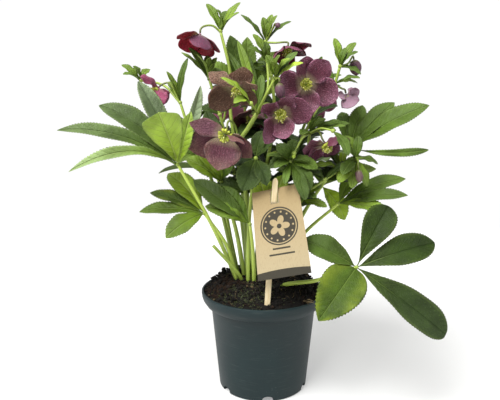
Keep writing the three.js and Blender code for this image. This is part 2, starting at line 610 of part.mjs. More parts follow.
// The pot: one moulded wall with a deep collar, a raised channel under the floor and six notches in the foot.
function pot() {
  const inner = (z) => POT.base - POT.wall + ((POT.bodyTop - POT.base) * z) / POT.step;
  const profile = [
    [0, 0], [POT.channelIn, 0], [POT.channelIn + 1.5, POT.channelHigh], [POT.channelOut - 1, POT.channelHigh],
    [POT.channelOut, 0], [POT.base, 0], [POT.bodyTop, POT.step], [POT.collarFoot, POT.step + 0.8],
    [POT.rim - 1.2, POT.collarTop + 3], [POT.rim, POT.height - 3], [POT.rim, POT.height - 0.8],
    [POT.rim - 0.8, POT.height], [POT.rimInner, POT.height], [POT.collarFoot - POT.wall, POT.step + 2.8],
    [inner(POT.step), POT.step - 1], [inner(POT.floor), POT.floor], [0, POT.floor],
  ];
  const wall = new THREE.LatheGeometry(profile.map(([r, z]) => new THREE.Vector2(r, z)), 30);
  wall.rotateX(Math.PI / 2);
  const arch = new THREE.Shape();
  arch.moveTo(-NOTCH.half, -1);
  arch.lineTo(NOTCH.half, -1);
  arch.lineTo(NOTCH.half, NOTCH.high - 1);
  arch.quadraticCurveTo(NOTCH.half, NOTCH.high + 2, 0, NOTCH.high + 2);
  arch.quadraticCurveTo(-NOTCH.half, NOTCH.high + 2, -NOTCH.half, NOTCH.high - 1);
  const cuts = range(NOTCH.count).flatMap((i) => {
    const angle = turn(NOTCH.first + (360 / NOTCH.count) * i);
    const length = NOTCH.reachOut - NOTCH.reachIn;
    const notch = new THREE.ExtrudeGeometry(arch, { depth: length, bevelEnabled: false, curveSegments: 2 });
    notch.rotateX(Math.PI / 2);
    notch.translate(0, NOTCH.reachOut, 0);
    notch.rotateZ(angle - Math.PI / 2);
    const drain = new THREE.CylinderGeometry(DRAIN.radius, DRAIN.radius, 3 * POT.wall, 6);
    drain.rotateX(Math.PI / 2);
    drain.translate(DRAIN.at, 0, POT.channelHigh + 1);
    drain.rotateZ(angle + turn(180 / NOTCH.count));
    return [solid(notch), solid(drain)];
  });
  return cuts.reduce((sum, cut) => sum.subtract(cut), solid(wall));
}

// The root ball: it fills the pot and rises in a rough mound to the crown, with a hole for each stalk.
function soil(holes) {
  const gap = SOIL.rimGap;
  const inner = (z) => POT.base - POT.wall + ((POT.bodyTop - POT.base) * z) / POT.step - gap;
  const profile = [
    [0, POT.floor + gap], [inner(POT.floor), POT.floor + gap], [inner(POT.step), POT.step - 1],
    [POT.collarFoot - POT.wall - gap, POT.step + 3], [POT.rimInner - gap - 0.6, SOIL.edge],
    [60, 115], [SOIL.shoulderAt, SOIL.shoulder], [40, 126], [27, 128], [0, SOIL.top],
  ];
  const ball = new THREE.LatheGeometry(profile.map(([r, z]) => new THREE.Vector2(r, z)), 22);
  ball.rotateX(Math.PI / 2);
  const merged = mergeVertices(ball.deleteAttribute("normal").deleteAttribute("uv"), MERGE);
  const position = merged.getAttribute("position");
  range(position.count).forEach((i) => {
    const point = v().fromBufferAttribute(position, i);
    if (point.z > SOIL.edge + 2) {
      const lift = SOIL.rough * wobble(point.x * 0.37 + point.y * 1.13);
      position.setZ(i, point.z + lift);
    }
  });
  return holes.reduce((sum, hole) => sum.subtract(hole), solid(merged));
}

// The label: a tapering card on a flat stick that comes through a slot below its top edge.
const CARD = {
  foot: { left: [-7, 143], right: [47, 152] }, head: { left: [-13, 229], right: [34, 239] },
  depth: [-69, -66.5, -44], thick: 0.7, rows: 6,
};
const STICK = {
  head: [11, -45.8, 245], foot: [2, -61.5, 100], wide: 6, deep: 2, point: 5, slot: [6.8, 11.4], slotAt: 0.87,
};

function cardPoint(s, across) {
  const z = (side) => THREE.MathUtils.lerp(CARD.foot[side][1], CARD.head[side][1], s);
  const x = (side) => THREE.MathUtils.lerp(CARD.foot[side][0], CARD.head[side][0], s);
  const [near, bend, far] = CARD.depth;
  const y = near * (1 - s) ** 2 + 2 * bend * s * (1 - s) + far * s ** 2;
  const blend = (of) => THREE.MathUtils.lerp(of("left"), of("right"), across);
  return v(blend(x), y, blend(z));
}

function card() {
  const rings = range(CARD.rows + 1).map((i) => {
    const s = i / CARD.rows;
    const lean = cardPoint(Math.min(1, s + 0.01), 0.5).sub(cardPoint(Math.max(0, s - 0.01), 0.5)).normalize();
    const out = v(0, lean.z, -lean.y).multiplyScalar(-CARD.thick / 2);
    const [left, right] = [cardPoint(s, 0), cardPoint(s, 1)];
    return [left.clone().add(out), right.clone().add(out), right.clone().sub(out), left.clone().sub(out)];
  });
  const slot = new THREE.BoxGeometry(STICK.slot[0], 8, STICK.slot[1]);
  slot.applyMatrix4(stickFrame(STICK.slotAt));
  return loft(rings).subtract(solid(slot));
}

// A frame on the stick, its Z along the stick and its X across it.
function stickFrame(t) {
  const [foot, head] = [at(STICK.foot), at(STICK.head)];
  const along = head.clone().sub(foot).normalize();
  const across = v(1, 0, 0).addScaledVector(along, -along.x).normalize();
  const back = along.clone().cross(across);
  return new THREE.Matrix4().makeBasis(across, back, along).setPosition(foot.lerp(head, t));
}

function stick(grow = 0) {
  const length = at(STICK.head).distanceTo(at(STICK.foot)) + grow;
  const half = STICK.wide / 2 + grow;
  const outline = new THREE.Shape();
  outline.moveTo(-half, -grow);
  outline.lineTo(half, -grow);
  outline.lineTo(half, length - STICK.point);
  outline.quadraticCurveTo(half, length, 0, length);
  outline.quadraticCurveTo(-half, length, -half, length - STICK.point);
  const deep = STICK.deep + 2 * grow;
  const strip = new THREE.ExtrudeGeometry(outline, { depth: deep, bevelEnabled: false, curveSegments: 3 });
  strip.translate(0, 0, -deep / 2);
  strip.rotateX(Math.PI / 2);
  strip.applyMatrix4(stickFrame(0));
  return solid(strip);
}

// Assembly.
const plant = new THREE.Group();
function place(name, body, color, roughness) {
  const material = new THREE.MeshStandardMaterial({ color, roughness, metalness: 0 });
  const mesh = new THREE.Mesh(geometryOf(body), material);
  mesh.name = name;
  plant.add(mesh);
}

const footed = ({ foot, ...rest }) => ({ foot: [...foot, CROWN_DEEP], ...rest });
Object.entries(LEAVES).forEach(([name, one]) => place(name, leaf(footed(one)), one.color ?? GREEN.mid, 0.55));
Object.entries(STEMS).forEach(([name, one]) => place(name, flowerStem(footed(one)), GREEN.stem, 0.5));
Object.entries(BLOOMS).forEach(([name, one]) => {
  place(`${name}_sepals`, sepals(one), one.color ?? PLUM.mid, 0.6);
  place(`${name}_eye`, eye(one), 0xc4c452, 0.6);
});
Object.entries(BUDS).forEach(([name, one]) => place(name, bud(one), 0x6b4650, 0.6));
place("pot", pot(), 0x3b4545, 0.45);
place("label_card", card(), 0xd9b980, 0.85);
place("label_stick", stick(), 0xe8d6a4, 0.7);
place("soil", soil([...footHoles, stick(GAP)]), 0x1f1713, 0.95);

export default plant;
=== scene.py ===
# A potted hellebore in flower, with its label on a stick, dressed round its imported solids.
# Lengths are written in millimetres and become metres where a mesh is made.
import functools
import math
import random

import bpy
import numpy as np
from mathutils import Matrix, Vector, noise


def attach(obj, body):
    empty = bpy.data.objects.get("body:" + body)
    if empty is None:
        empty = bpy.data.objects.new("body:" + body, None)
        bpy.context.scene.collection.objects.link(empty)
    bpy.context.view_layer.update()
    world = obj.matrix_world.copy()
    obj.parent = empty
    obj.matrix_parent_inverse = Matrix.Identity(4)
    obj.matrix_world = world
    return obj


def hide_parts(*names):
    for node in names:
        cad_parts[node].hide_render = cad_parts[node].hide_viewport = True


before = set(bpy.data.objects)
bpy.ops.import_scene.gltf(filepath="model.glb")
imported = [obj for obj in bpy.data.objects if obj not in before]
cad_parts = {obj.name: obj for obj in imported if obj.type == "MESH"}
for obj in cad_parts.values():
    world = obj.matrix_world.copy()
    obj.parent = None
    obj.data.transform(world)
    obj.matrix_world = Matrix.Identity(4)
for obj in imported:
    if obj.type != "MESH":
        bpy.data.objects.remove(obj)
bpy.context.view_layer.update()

# ---- Pot -------------------------------------------------------------------------------------
# A nursery pot: one thin wall of recycled polypropylene, injection moulded with a deep collar for
# stacking and lifting, a raised channel under the floor and six arched notches that let water out.
MM = 0.001
POT_SEGMENTS = 120
POT_PROFILE = [
    (0, 0), (36, 0), (37.5, 5), (42, 5), (43, 0), (49.6, 0), (50.3, 0.7), (54.8, 48), (59.3, 95.4),
    (60.1, 96.3), (64.4, 96.7), (65.2, 97.3), (68.6, 102.6), (69.4, 105), (70, 109), (70, 111),
    (69.6, 111.7), (68.8, 112), (68, 111.9), (67.5, 111.3), (63, 98.8), (57.2, 95), (48.9, 7), (0, 7),
]
NOTCHES = {
    "count": 6, "first": -85, "half": 6, "spring": 2.4, "rise": 3.4, "from": 42.6, "to": 53, "steps": 8,
}
DRAINS = {"radius": 2.6, "at": 39.5, "low": 3, "high": 9, "corners": 12}


def linear(code):
    """An sRGB colour code as the linear colour that a shader takes."""
    parts = [int(code[i:i + 2], 16) / 255 for i in (1, 3, 5)]
    return [c / 12.92 if c <= 0.04045 else ((c + 0.055) / 1.055) ** 2.4 for c in parts] + [1.0]


def feed(node, *inputs, **named):
    """Feeds a node: its inputs come in order or by name, and names in small letters are its settings.

    An input takes a value, a colour code, a node (its first output) or a socket of one.
    """
    for name in filter(str.islower, named):
        setattr(node, name, named[name])
    sockets = {name.replace("_", " "): value for name, value in named.items() if not name.islower()}
    for name, value in [*enumerate(inputs), *sockets.items()]:
        if isinstance(value, bpy.types.Node):
            value = value.outputs[0]
        if isinstance(value, bpy.types.NodeSocket):
            node.id_data.links.new(value, node.inputs[name])
        else:
            node.inputs[name].default_value = linear(value) if isinstance(value, str) else value
    return node


def add(tree, kind, *inputs, **named):
    """Adds a node, with its settings and links. A second word of its kind says how it works."""
    kind, _, mode = kind.partition(" ")
    if mode:
        named["interpolation_type" if kind == "MapRange" else "operation"] = mode
    return feed(tree.nodes.new("ShaderNode" + kind), *inputs, **named)


def form_of(node):
    """The mesh's `form` as a vector, then mm across, mm along and the share from -1 to 1."""
    form = node("Attribute", attribute_name="form").outputs["Vector"]
    return form, *node("SeparateXYZ", form).outputs


def look_of(node):
    """The mesh's `look`: its tone or age, how pale it is, the way along it and which side it is."""
    look = node("Attribute", attribute_name="look")
    return *node("SeparateColor", look).outputs, look.outputs["Alpha"]


def finish(name):
    """A new material, and the adder for its own nodes."""
    material = bpy.data.materials.new(name)
    material.use_nodes = True
    return material, functools.partial(add, material.node_tree)


def coat(material, **named):
    """Feeds a material's shader, last of all."""
    feed(material.node_tree.nodes["Principled BSDF"], **named)
    return material


def chunk(points, faces, form=None, look=None, finish_number=0):
    """A stretch of mesh: `form` holds places on the surface in mm and `look` holds what tints it."""
    count = len(points)
    return {
        "points": np.asarray(points, float), "faces": faces, "finish": finish_number,
        "form": np.zeros((count, 3)) if form is None else np.asarray(form, float),
        "look": np.zeros((count, 4)) if look is None else np.asarray(look, float),
    }


def make_piece(name, chunks, finishes, stands_for=(), sharp=None):
    """Joins chunks into one smooth object that rides on the plant's only body."""
    mesh = bpy.data.meshes.new(name)
    faces = []
    numbers = []
    start = 0
    for part in chunks:
        faces += [[start + corner for corner in face] for face in part["faces"]]
        numbers += [part["finish"]] * len(part["faces"])
        start += len(part["points"])
    mesh.from_pydata(np.concatenate([part["points"] for part in chunks]) * MM, [], faces)
    for material in finishes:
        mesh.materials.append(material)
    mesh.polygons.foreach_set("material_index", numbers)
    mesh.polygons.foreach_set("use_smooth", [True] * len(faces))
    for layer, kind, field in (("form", "FLOAT_VECTOR", "vector"), ("look", "FLOAT_COLOR", "color")):
        values = np.concatenate([part[layer] for part in chunks]).ravel()
        mesh.attributes.new(layer, kind, "POINT").data.foreach_set(field, values)
    mesh.update()
    if sharp is not None:
        mesh.set_sharp_from_angle(angle=math.radians(sharp))
    piece = bpy.data.objects.new(name, mesh)
    bpy.context.scene.collection.objects.link(piece)
    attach(piece, "root")
    if stands_for:
        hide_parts(*stands_for)
    return piece


def closed(rings, low, high):
    """Stacks rings of points from low to high and closes them with a point on the Z axis at each end."""
    points = np.concatenate([*rings, [(0, 0, low), (0, 0, high)]])
    count = len(rings[0])
    last = (len(rings) - 1) * count
    end = len(points) - 2
    faces = []
    for i in range(count):
        j = (i + 1) % count
        faces += [[k + i, k + j, k + count + j, k + count + i] for k in range(0, last, count)]
        faces += [[end, j, i], [end + 1, last + i, last + j]]
    return points, faces


def around(count):
    """Angles spaced evenly round a circle."""
    return np.arange(count) * 2 * math.pi / count


def lathe(profile, count):
    """Turns a profile of (radius, height) that starts and ends on the Z axis."""
    angles = around(count)
    rings = [
        np.stack([r * np.cos(angles), r * np.sin(angles), np.full(count, float(z))], 1)
        for r, z in profile[1:-1]
    ]
    return closed(rings, profile[0][1], profile[-1][1])


def prism(outline, low, high):
    """Runs an outline of (x, y) up from one height to another."""
    count = len(outline)
    points = [(x, y, z) for z in (low, high) for x, y in outline]
    faces = [list(range(count))[::-1], list(range(count, 2 * count))]
    faces += [[i, (i + 1) % count, count + (i + 1) % count, count + i] for i in range(count)]
    return np.array(points, float), faces


def cut(piece, tools, sharp):
    """Cuts the closed chunks `tools` out of a piece and keeps edges over `sharp` degrees crisp."""
    tool = make_piece("cutter", tools, [])
    step = piece.modifiers.new("cut", "BOOLEAN")
    step.object = tool
    step.solver = "EXACT"
    bpy.context.view_layer.update()
    cleared = bpy.data.meshes.new_from_object(piece.evaluated_get(bpy.context.evaluated_depsgraph_get()))
    piece.modifiers.clear()
    piece.data = cleared
    piece.data.set_sharp_from_angle(angle=math.radians(sharp))
    bpy.data.objects.remove(tool)


def notch_cutters():
    """The six arched notches in the foot and the six drain holes between them."""
    bend = np.arange(NOTCHES["steps"] + 1) * math.pi / NOTCHES["steps"]
    half = NOTCHES["half"]
    arch = [(-half, -1), (half, -1)]
    arch += [(half * math.cos(a), NOTCHES["spring"] + NOTCHES["rise"] * math.sin(a)) for a in bend]
    radius = DRAINS["radius"]
    ring = [(radius * math.cos(a), radius * math.sin(a)) for a in around(DRAINS["corners"])]
    tools = []
    for i in range(NOTCHES["count"]):
        angle = math.radians(NOTCHES["first"] + 360 / NOTCHES["count"] * i)
        points, faces = prism(arch, NOTCHES["from"], NOTCHES["to"])
        across, up, out = points.T
        x = out * math.cos(angle) - across * math.sin(angle)
        y = out * math.sin(angle) + across * math.cos(angle)
        tools.append(chunk(np.stack([x, y, up], 1), faces))
        between = angle + math.pi / NOTCHES["count"]
        hole = (DRAINS["at"] * math.cos(between), DRAINS["at"] * math.sin(between))
        outline = [(hole[0] + x, hole[1] + y) for x, y in ring]
        tools.append(chunk(*prism(outline, DRAINS["low"], DRAINS["high"])))
    return tools


def polypropylene():
    """Recycled polypropylene, moulded satin: even colour, fine orange peel, specks of dust, faint scuffs."""
    material, node = finish("polypropylene, recycled, moulded satin")
    place = node("TexCoord").outputs["Object"]
    cloud = node("TexNoise", place, Scale=28, Detail=4)
    body = node("MixRGB", cloud, "#0A191C", "#132627")
    stretched = node("Mapping", place, Scale=(0.06, 0.06, 1))
    streak = node("TexNoise", stretched, Scale=900, Detail=3)
    scuff = node("MapRange", streak, 0.58, 0.78, 0, 0.35)
    grains = node("TexVoronoi", place, Scale=330)
    sparse = node("TexNoise", place, Scale=55, Detail=2)
    reach = node("MapRange", sparse, 0.45, 0.75, 0, 0.22)
    speck = node("Math LESS_THAN", grains, reach)
    dust = node("Math MULTIPLY", speck, 0.4)
    marks = node("Math MAXIMUM", scuff, dust)
    worn = node("MixRGB", marks, body, "#3C4442")
    rough = node("MapRange", cloud, 0, 1, 0.4, 0.6)
    peel = node("TexNoise", place, Scale=700, Detail=2)
    bump = node("Bump", Strength=0.25, Distance=0.0003, Height=peel)
    return coat(material, Base_Color=worn, IOR=1.49, Specular_IOR_Level=0.3, Roughness=rough, Normal=bump)


wall = chunk(*lathe(POT_PROFILE, POT_SEGMENTS))
pot = make_piece("nursery_pot", [wall], [polypropylene()], stands_for=["pot"])
cut(pot, notch_cutters(), sharp=38)

# ---- Soil ------------------------------------------------------------------------------------
# The root ball: peat with bark crumbs, root fibres and a little moss, pressed into the pot and
# heaped up to the crown. It is loose and matt, so its look is all in its crumbs.
GROUND_RADII = [0, 27, 40, 51, 60, 66.1]
GROUND_HEIGHTS = [129, 128, 126, 123, 115, 109.5]
GROUND_EASE = (58, 66)
LUMPS = [(2.0, 9), (1.9, 4.4), (0.8, 1.7)]
ROOT_BALL = [(62.2, 99), (58.4, 95), (47.9, 7.8)]
SOIL_RINGS = 56
SOIL_SEGMENTS = 150
CRUMBS = 2600
CRUMB_SIZE = (1.2, 5.0)
CLOD_LUMPS = 14
FIBRES = 620
FIBRE_RADII = (0.28, 0.34, 0.15)
SPRIGS = 420
SPRIG_LEAVES = 5
OFF_WALL = 0.8
RUSTY_PATCH = (-44, -22, 17)
MOSSY_PATCH = (-26, -52, 20)
DARK_SHARE = 0.94
STRAWS = 9
STRAW_AT = (46, -51, 111)
STRAW_RADII = (0.4, 0.45, 0.2)
CLODS = [
    (-48, 22, 9), (-38, 34, 8), (-56, 4, 7), (-20, 40, 8), (52, 20, 8), (40, 36, 8), (46, -30, 7),
    (-30, -44, 7), (-8, -50, 7), (14, -46, 7), (-50, -20, 7), (58, -10, 6), (0, 30, 9), (24, -30, 7),
]


def ground(x, y):
    """The height of the soil at a place."""
    r = math.hypot(x, y)
    ease = 1 - np.clip((r - GROUND_EASE[0]) / (GROUND_EASE[1] - GROUND_EASE[0]), 0, 1)
    rough = sum(size * noise.noise(Vector((x / grain, y / grain, 3 + grain))) for size, grain in LUMPS)
    return float(np.interp(r, GROUND_RADII, GROUND_HEIGHTS)) + rough * ease


def root_ball():
    """The soil's own body: a rough mound on top, smooth where it lies in the pot."""
    angles = around(SOIL_SEGMENTS)
    rings = []
    for k in range(1, SOIL_RINGS + 1):
        r = GROUND_RADII[-1] * k / SOIL_RINGS
        places = [(r * math.cos(a), r * math.sin(a)) for a in angles]
        rings.append([(x, y, ground(x, y)) for x, y in places])
    rings += [[(r * math.cos(a), r * math.sin(a), z) for a in angles] for r, z in ROOT_BALL]
    points, faces = closed(rings[::-1], ROOT_BALL[-1][1], ground(0, 0))
    look = [(0.15 + 0.25 * noise.noise(Vector(point) / 7), 0, 0, 1) for point in points]
    return chunk(points, faces, look=look)


def unit(a):
    """A direction made one long."""
    return np.divide(a, np.linalg.norm(a))


def turned(a, axis, degrees):
    """A direction turned about an axis."""
    angle = math.radians(degrees)
    swing = np.cross(axis, a) * math.sin(angle) + axis * np.dot(axis, a) * (1 - math.cos(angle))
    return a * math.cos(angle) + swing


def crumb(rng, centre, size, tone):
    """An uneven lump: five corners round its waist, and a top and a bottom."""
    spin = unit([rng.gauss(0, 1) for _ in range(3)])
    angle = rng.uniform(0, 360)
    waist = [(math.cos(a), math.sin(a), rng.uniform(-0.3, 0.3)) for a in around(5)]
    stretch = [rng.uniform(0.7, 1.3), rng.uniform(0.6, 1.1), rng.uniform(0.5, 0.9)]
    points = []
    for corner in [*waist, (0, 0, 1), (0, 0, -1)]:
        out = turned(np.array(corner) * stretch * rng.uniform(0.75, 1.15), spin, angle)
        points.append(np.array(centre) + out * size / 2)
    faces = [[k, (k + 1) % 5, 5] for k in range(5)] + [[(k + 1) % 5, k, 6] for k in range(5)]
    return chunk(points, faces, look=[(tone, 0, 0, 1)] * 7)


def smooth_line(knots, count):
    """Evenly spaced points on the centripetal Catmull-Rom curve through the knots."""
    knots = [np.array(knot, float) for knot in knots]
    run = [2 * knots[0] - knots[1], *knots, 2 * knots[-1] - knots[-2]]
    fine = []
    for a, b, c, d in zip(run, run[1:], run[2:], run[3:]):
        u = math.sqrt(np.linalg.norm(b - a))
        v = u + math.sqrt(np.linalg.norm(c - b))
        w = v + math.sqrt(np.linalg.norm(d - c))
        for t in np.linspace(u, v, 20, endpoint=False):
            ab = ((u - t) * a + t * b) / u
            bc = ((v - t) * b + (t - u) * c) / (v - u)
            cd = ((w - t) * c + (t - v) * d) / (w - v)
            abc = ((v - t) * ab + t * bc) / v
            bcd = ((w - t) * bc + (t - u) * cd) / (w - u)
            fine.append(((v - t) * abc + (t - u) * bcd) / (v - u))
    fine = np.array([*fine, knots[-1]])
    walked = np.concatenate([[0], np.cumsum(np.linalg.norm(np.diff(fine, axis=0), axis=1))])
    even = np.linspace(0, walked[-1], count + 1)
    return np.stack([np.interp(even, walked, fine[:, k]) for k in range(3)], 1)


def tube_faces(rings, sides):
    """The faces round a stack of rings, and the flat ones at its two ends."""
    corners = np.arange(rings * sides).reshape(rings, sides)
    onward = np.roll(corners, -1, axis=1)
    round_it = np.stack([corners[:-1], onward[:-1], onward[1:], corners[1:]], 2).reshape(-1, 4)
    return [*round_it.tolist(), corners[0, ::-1].tolist(), corners[-1].tolist()]


def stalk(knots, radii, count, sides, tone, ridges=0, finish_number=0):
    """A stalk with closed ends: its radius and its tone run evenly from one end to the other."""
    centres = smooth_line(knots, count)
    ways = np.gradient(centres, axis=0)
    reference = np.array((0.3, 1.0, 0.2)) if abs(unit(ways[0])[2]) > 0.6 else np.array((0.1, 0.2, 1.0))
    points, form, look = [], [], []
    length = np.linalg.norm(np.diff(centres, axis=0), axis=1).sum()
    for i, (centre, way) in enumerate(zip(centres, ways)):
        way = unit(way)
        reference = unit(reference - way * np.dot(reference, way))
        other = np.cross(way, reference)
        share = i / count
        radius = np.interp(share, np.linspace(0, 1, len(radii)), radii)
        for k in range(sides):
            angle = 2 * math.pi * k / sides
            reach = radius * (1 + ridges * math.cos(4 * angle))
            points.append(centre + reach * (math.cos(angle) * reference + math.sin(angle) * other))
            form.append((radius * angle, share * length, k / sides))
            look.append((tone[0] + (tone[1] - tone[0]) * share, 0, share, 1))
    return chunk(points, tube_faces(count + 1, sides), form, look, finish_number)


def litter():
    """Crumbs, root fibres and sprigs of moss, strewn by rule over the mound."""
    rng = random.Random(7)
    strewn = []

    def spot(patch=None):
        while True:
            if patch:
                x, y = rng.gauss(patch[0], patch[2]), rng.gauss(patch[1], patch[2] / 2)
            else:
                r = GROUND_RADII[-1] * math.sqrt(rng.random())
                angle = rng.uniform(0, 2 * math.pi)
                x, y = r * math.cos(angle), r * math.sin(angle)
            if math.hypot(x, y) < GROUND_RADII[-1] - OFF_WALL:
                return x, y

    for _ in range(CRUMBS):
        x, y = spot()
        size = CRUMB_SIZE[0] + CRUMB_SIZE[1] * rng.random() ** 3
        tone = 0.1 + 0.5 * rng.random() ** 2 if rng.random() < DARK_SHARE else 0.9
        strewn.append(crumb(rng, (x, y, ground(x, y) + 0.15 * size), size, tone))
    for x, y, size in CLODS:
        for _ in range(CLOD_LUMPS):
            px, py = x + rng.gauss(0, size / 2), y + rng.gauss(0, size / 2)
            if math.hypot(px, py) < GROUND_RADII[-1] - 2:
                lump = rng.uniform(2.5, 6.5)
                height = ground(px, py) + lump * rng.uniform(0.2, 1.0)
                strewn.append(crumb(rng, (px, py, height), lump, rng.uniform(0, 0.45)))
    for k in range(FIBRES):
        x, y = spot(RUSTY_PATCH if k % 2 else None)
        heading = rng.uniform(0, 2 * math.pi)
        reach = rng.uniform(3, 9)
        knots = []
        for step in (-1, 0, 1):
            bend = heading + 0.5 * step * rng.uniform(-1, 1)
            px = x + step * reach / 2 * math.cos(bend)
            py = y + step * reach / 2 * math.sin(bend)
            if math.hypot(px, py) > GROUND_RADII[-1] - OFF_WALL:
                px, py = px * 0.9, py * 0.9
            knots.append((px, py, ground(px, py) + 0.2 + rng.uniform(0, 1.3)))
        tone = rng.uniform(0.62, 0.8) if k % 2 else rng.uniform(0.3, 0.95)
        strewn.append(stalk(knots, FIBRE_RADII, 4, 3, (tone, tone)))
    for k in range(SPRIGS):
        x, y = spot(MOSSY_PATCH if k % 3 else None)
        foot = np.array((x, y, ground(x, y)))
        for _ in range(SPRIG_LEAVES):
            way = unit((rng.gauss(0, 1), rng.gauss(0, 1), rng.uniform(0.2, 1.4)))
            side = unit(np.cross(way, (rng.random(), rng.random(), 0.2))) * 0.32
            reach = rng.uniform(1.2, 3.0)
            tip, back = foot + way * reach + (0, 0, 0.3), foot + way * reach * 0.4 + (0, 0, 0.5)
            faces = [[0, 1, 2], [1, 0, 3], [3, 2, 1], [0, 2, 3]]
            look = [(rng.random(), 0, 0, 1)] * 4
            strewn.append(chunk([foot - side, foot + side, tip, back], faces, look=look, finish_number=1))
    return strewn


def straw():
    """Bits of straw that hang over the rim at the front right."""
    rng = random.Random(3)
    bits = []
    for _ in range(STRAWS):
        x, y, z = STRAW_AT
        x, y, z = x + rng.uniform(-3, 3), y + rng.uniform(-2, 3), z + rng.uniform(0, 3)
        end = (x + rng.uniform(-2, 4), y - rng.uniform(3, 6.5), z + rng.uniform(0.5, 4))
        knots = [(x - 4, y + 6, z - 0.5), (x, y, z + 2.5), end]
        tone = rng.uniform(0.9, 1)
        bits.append(stalk(knots, STRAW_RADII, 4, 4, (tone, tone)))
    return bits


def peat():
    """Peat: nearly black when damp, with brown bark and tan fibre. It has no gloss at all."""
    material, node = finish("peat, damp")
    tone, *_ = look_of(node)
    place = node("TexCoord").outputs["Object"]
    grain = node("TexNoise", place, Scale=600, Detail=5, Roughness=0.7)
    dark = node("MixRGB", grain, "#010101", "#110D07")
    bark = node("MapRange", tone, 0.35, 0.75)
    brown = node("MixRGB", bark, dark, "#2A1B0F")
    fibre = node("MapRange", tone, 0.8)
    tan = node("MixRGB", fibre, brown, "#6E6044")
    bump = node("Bump", Strength=0.8, Distance=0.0008, Height=grain)
    return coat(material, Base_Color=tan, Roughness=0.95, Specular_IOR_Level=0.25, Normal=bump)


def moss():
    """Moss: tiny olive leaves, a little glossy where they are wet."""
    material, node = finish("moss, growing")
    tone, *_ = look_of(node)
    place = node("TexCoord").outputs["Object"]
    drift = node("TexNoise", place, Scale=90, Detail=2)
    mixed = node("Math MULTIPLY", tone, drift)
    green = node("MixRGB", mixed, "#12180A", "#66702A")
    return coat(material, Base_Color=green, Roughness=0.6)


mound = [root_ball(), *litter(), *straw()]
make_piece("peat_mound", mound, [peat(), moss()], stands_for=["soil"])

# ---- Basal leaves ----------------------------------------------------------------------------
# Each leaf stands on a petiole from the crown and fans into toothed leaflets at one hub. The blades
# are leathery and waxy, with a sunken midrib, side veins about 7 mm apart and a fine net between.
LEAFLET = {"wide": (1.15, 0.8, 0.6), "fold": 0.24, "arch": 6, "thick": 0.55, "start": 1.6, "pale": 0.04}
SPATULATE = (1.6, 0.6, 0.6)
ROW_STEP = 1.5
ACROSS = [0.22, 0.42, 0.62, 0.8, 0.93, 1.0]
GROOVE = {"half": 0.8, "deep": 0.35, "rib": 0.75}
VEIN = {"step": 7.0, "lean": 1.19, "puff": 0.9}
TOOTH = {"out": 0.9, "forward": 0.8, "from": 0.22}
TIP_EASE = 1.2
PETIOLE = {"radii": (2.5, 2.2, 1.9, 1.5), "steps": 34, "hub": 2.1, "tones": (0.48, 0.94)}
CROWN_DEEP = 112
STUB = {"knots": [(-22, -16, 120), (-27, -25, 136), (-54, -35, 171)], "radii": (2.1, 1.9, 1.8)}
STALK_RIDGES = 0.05
PAST_BEST = (0.655, 0.02)
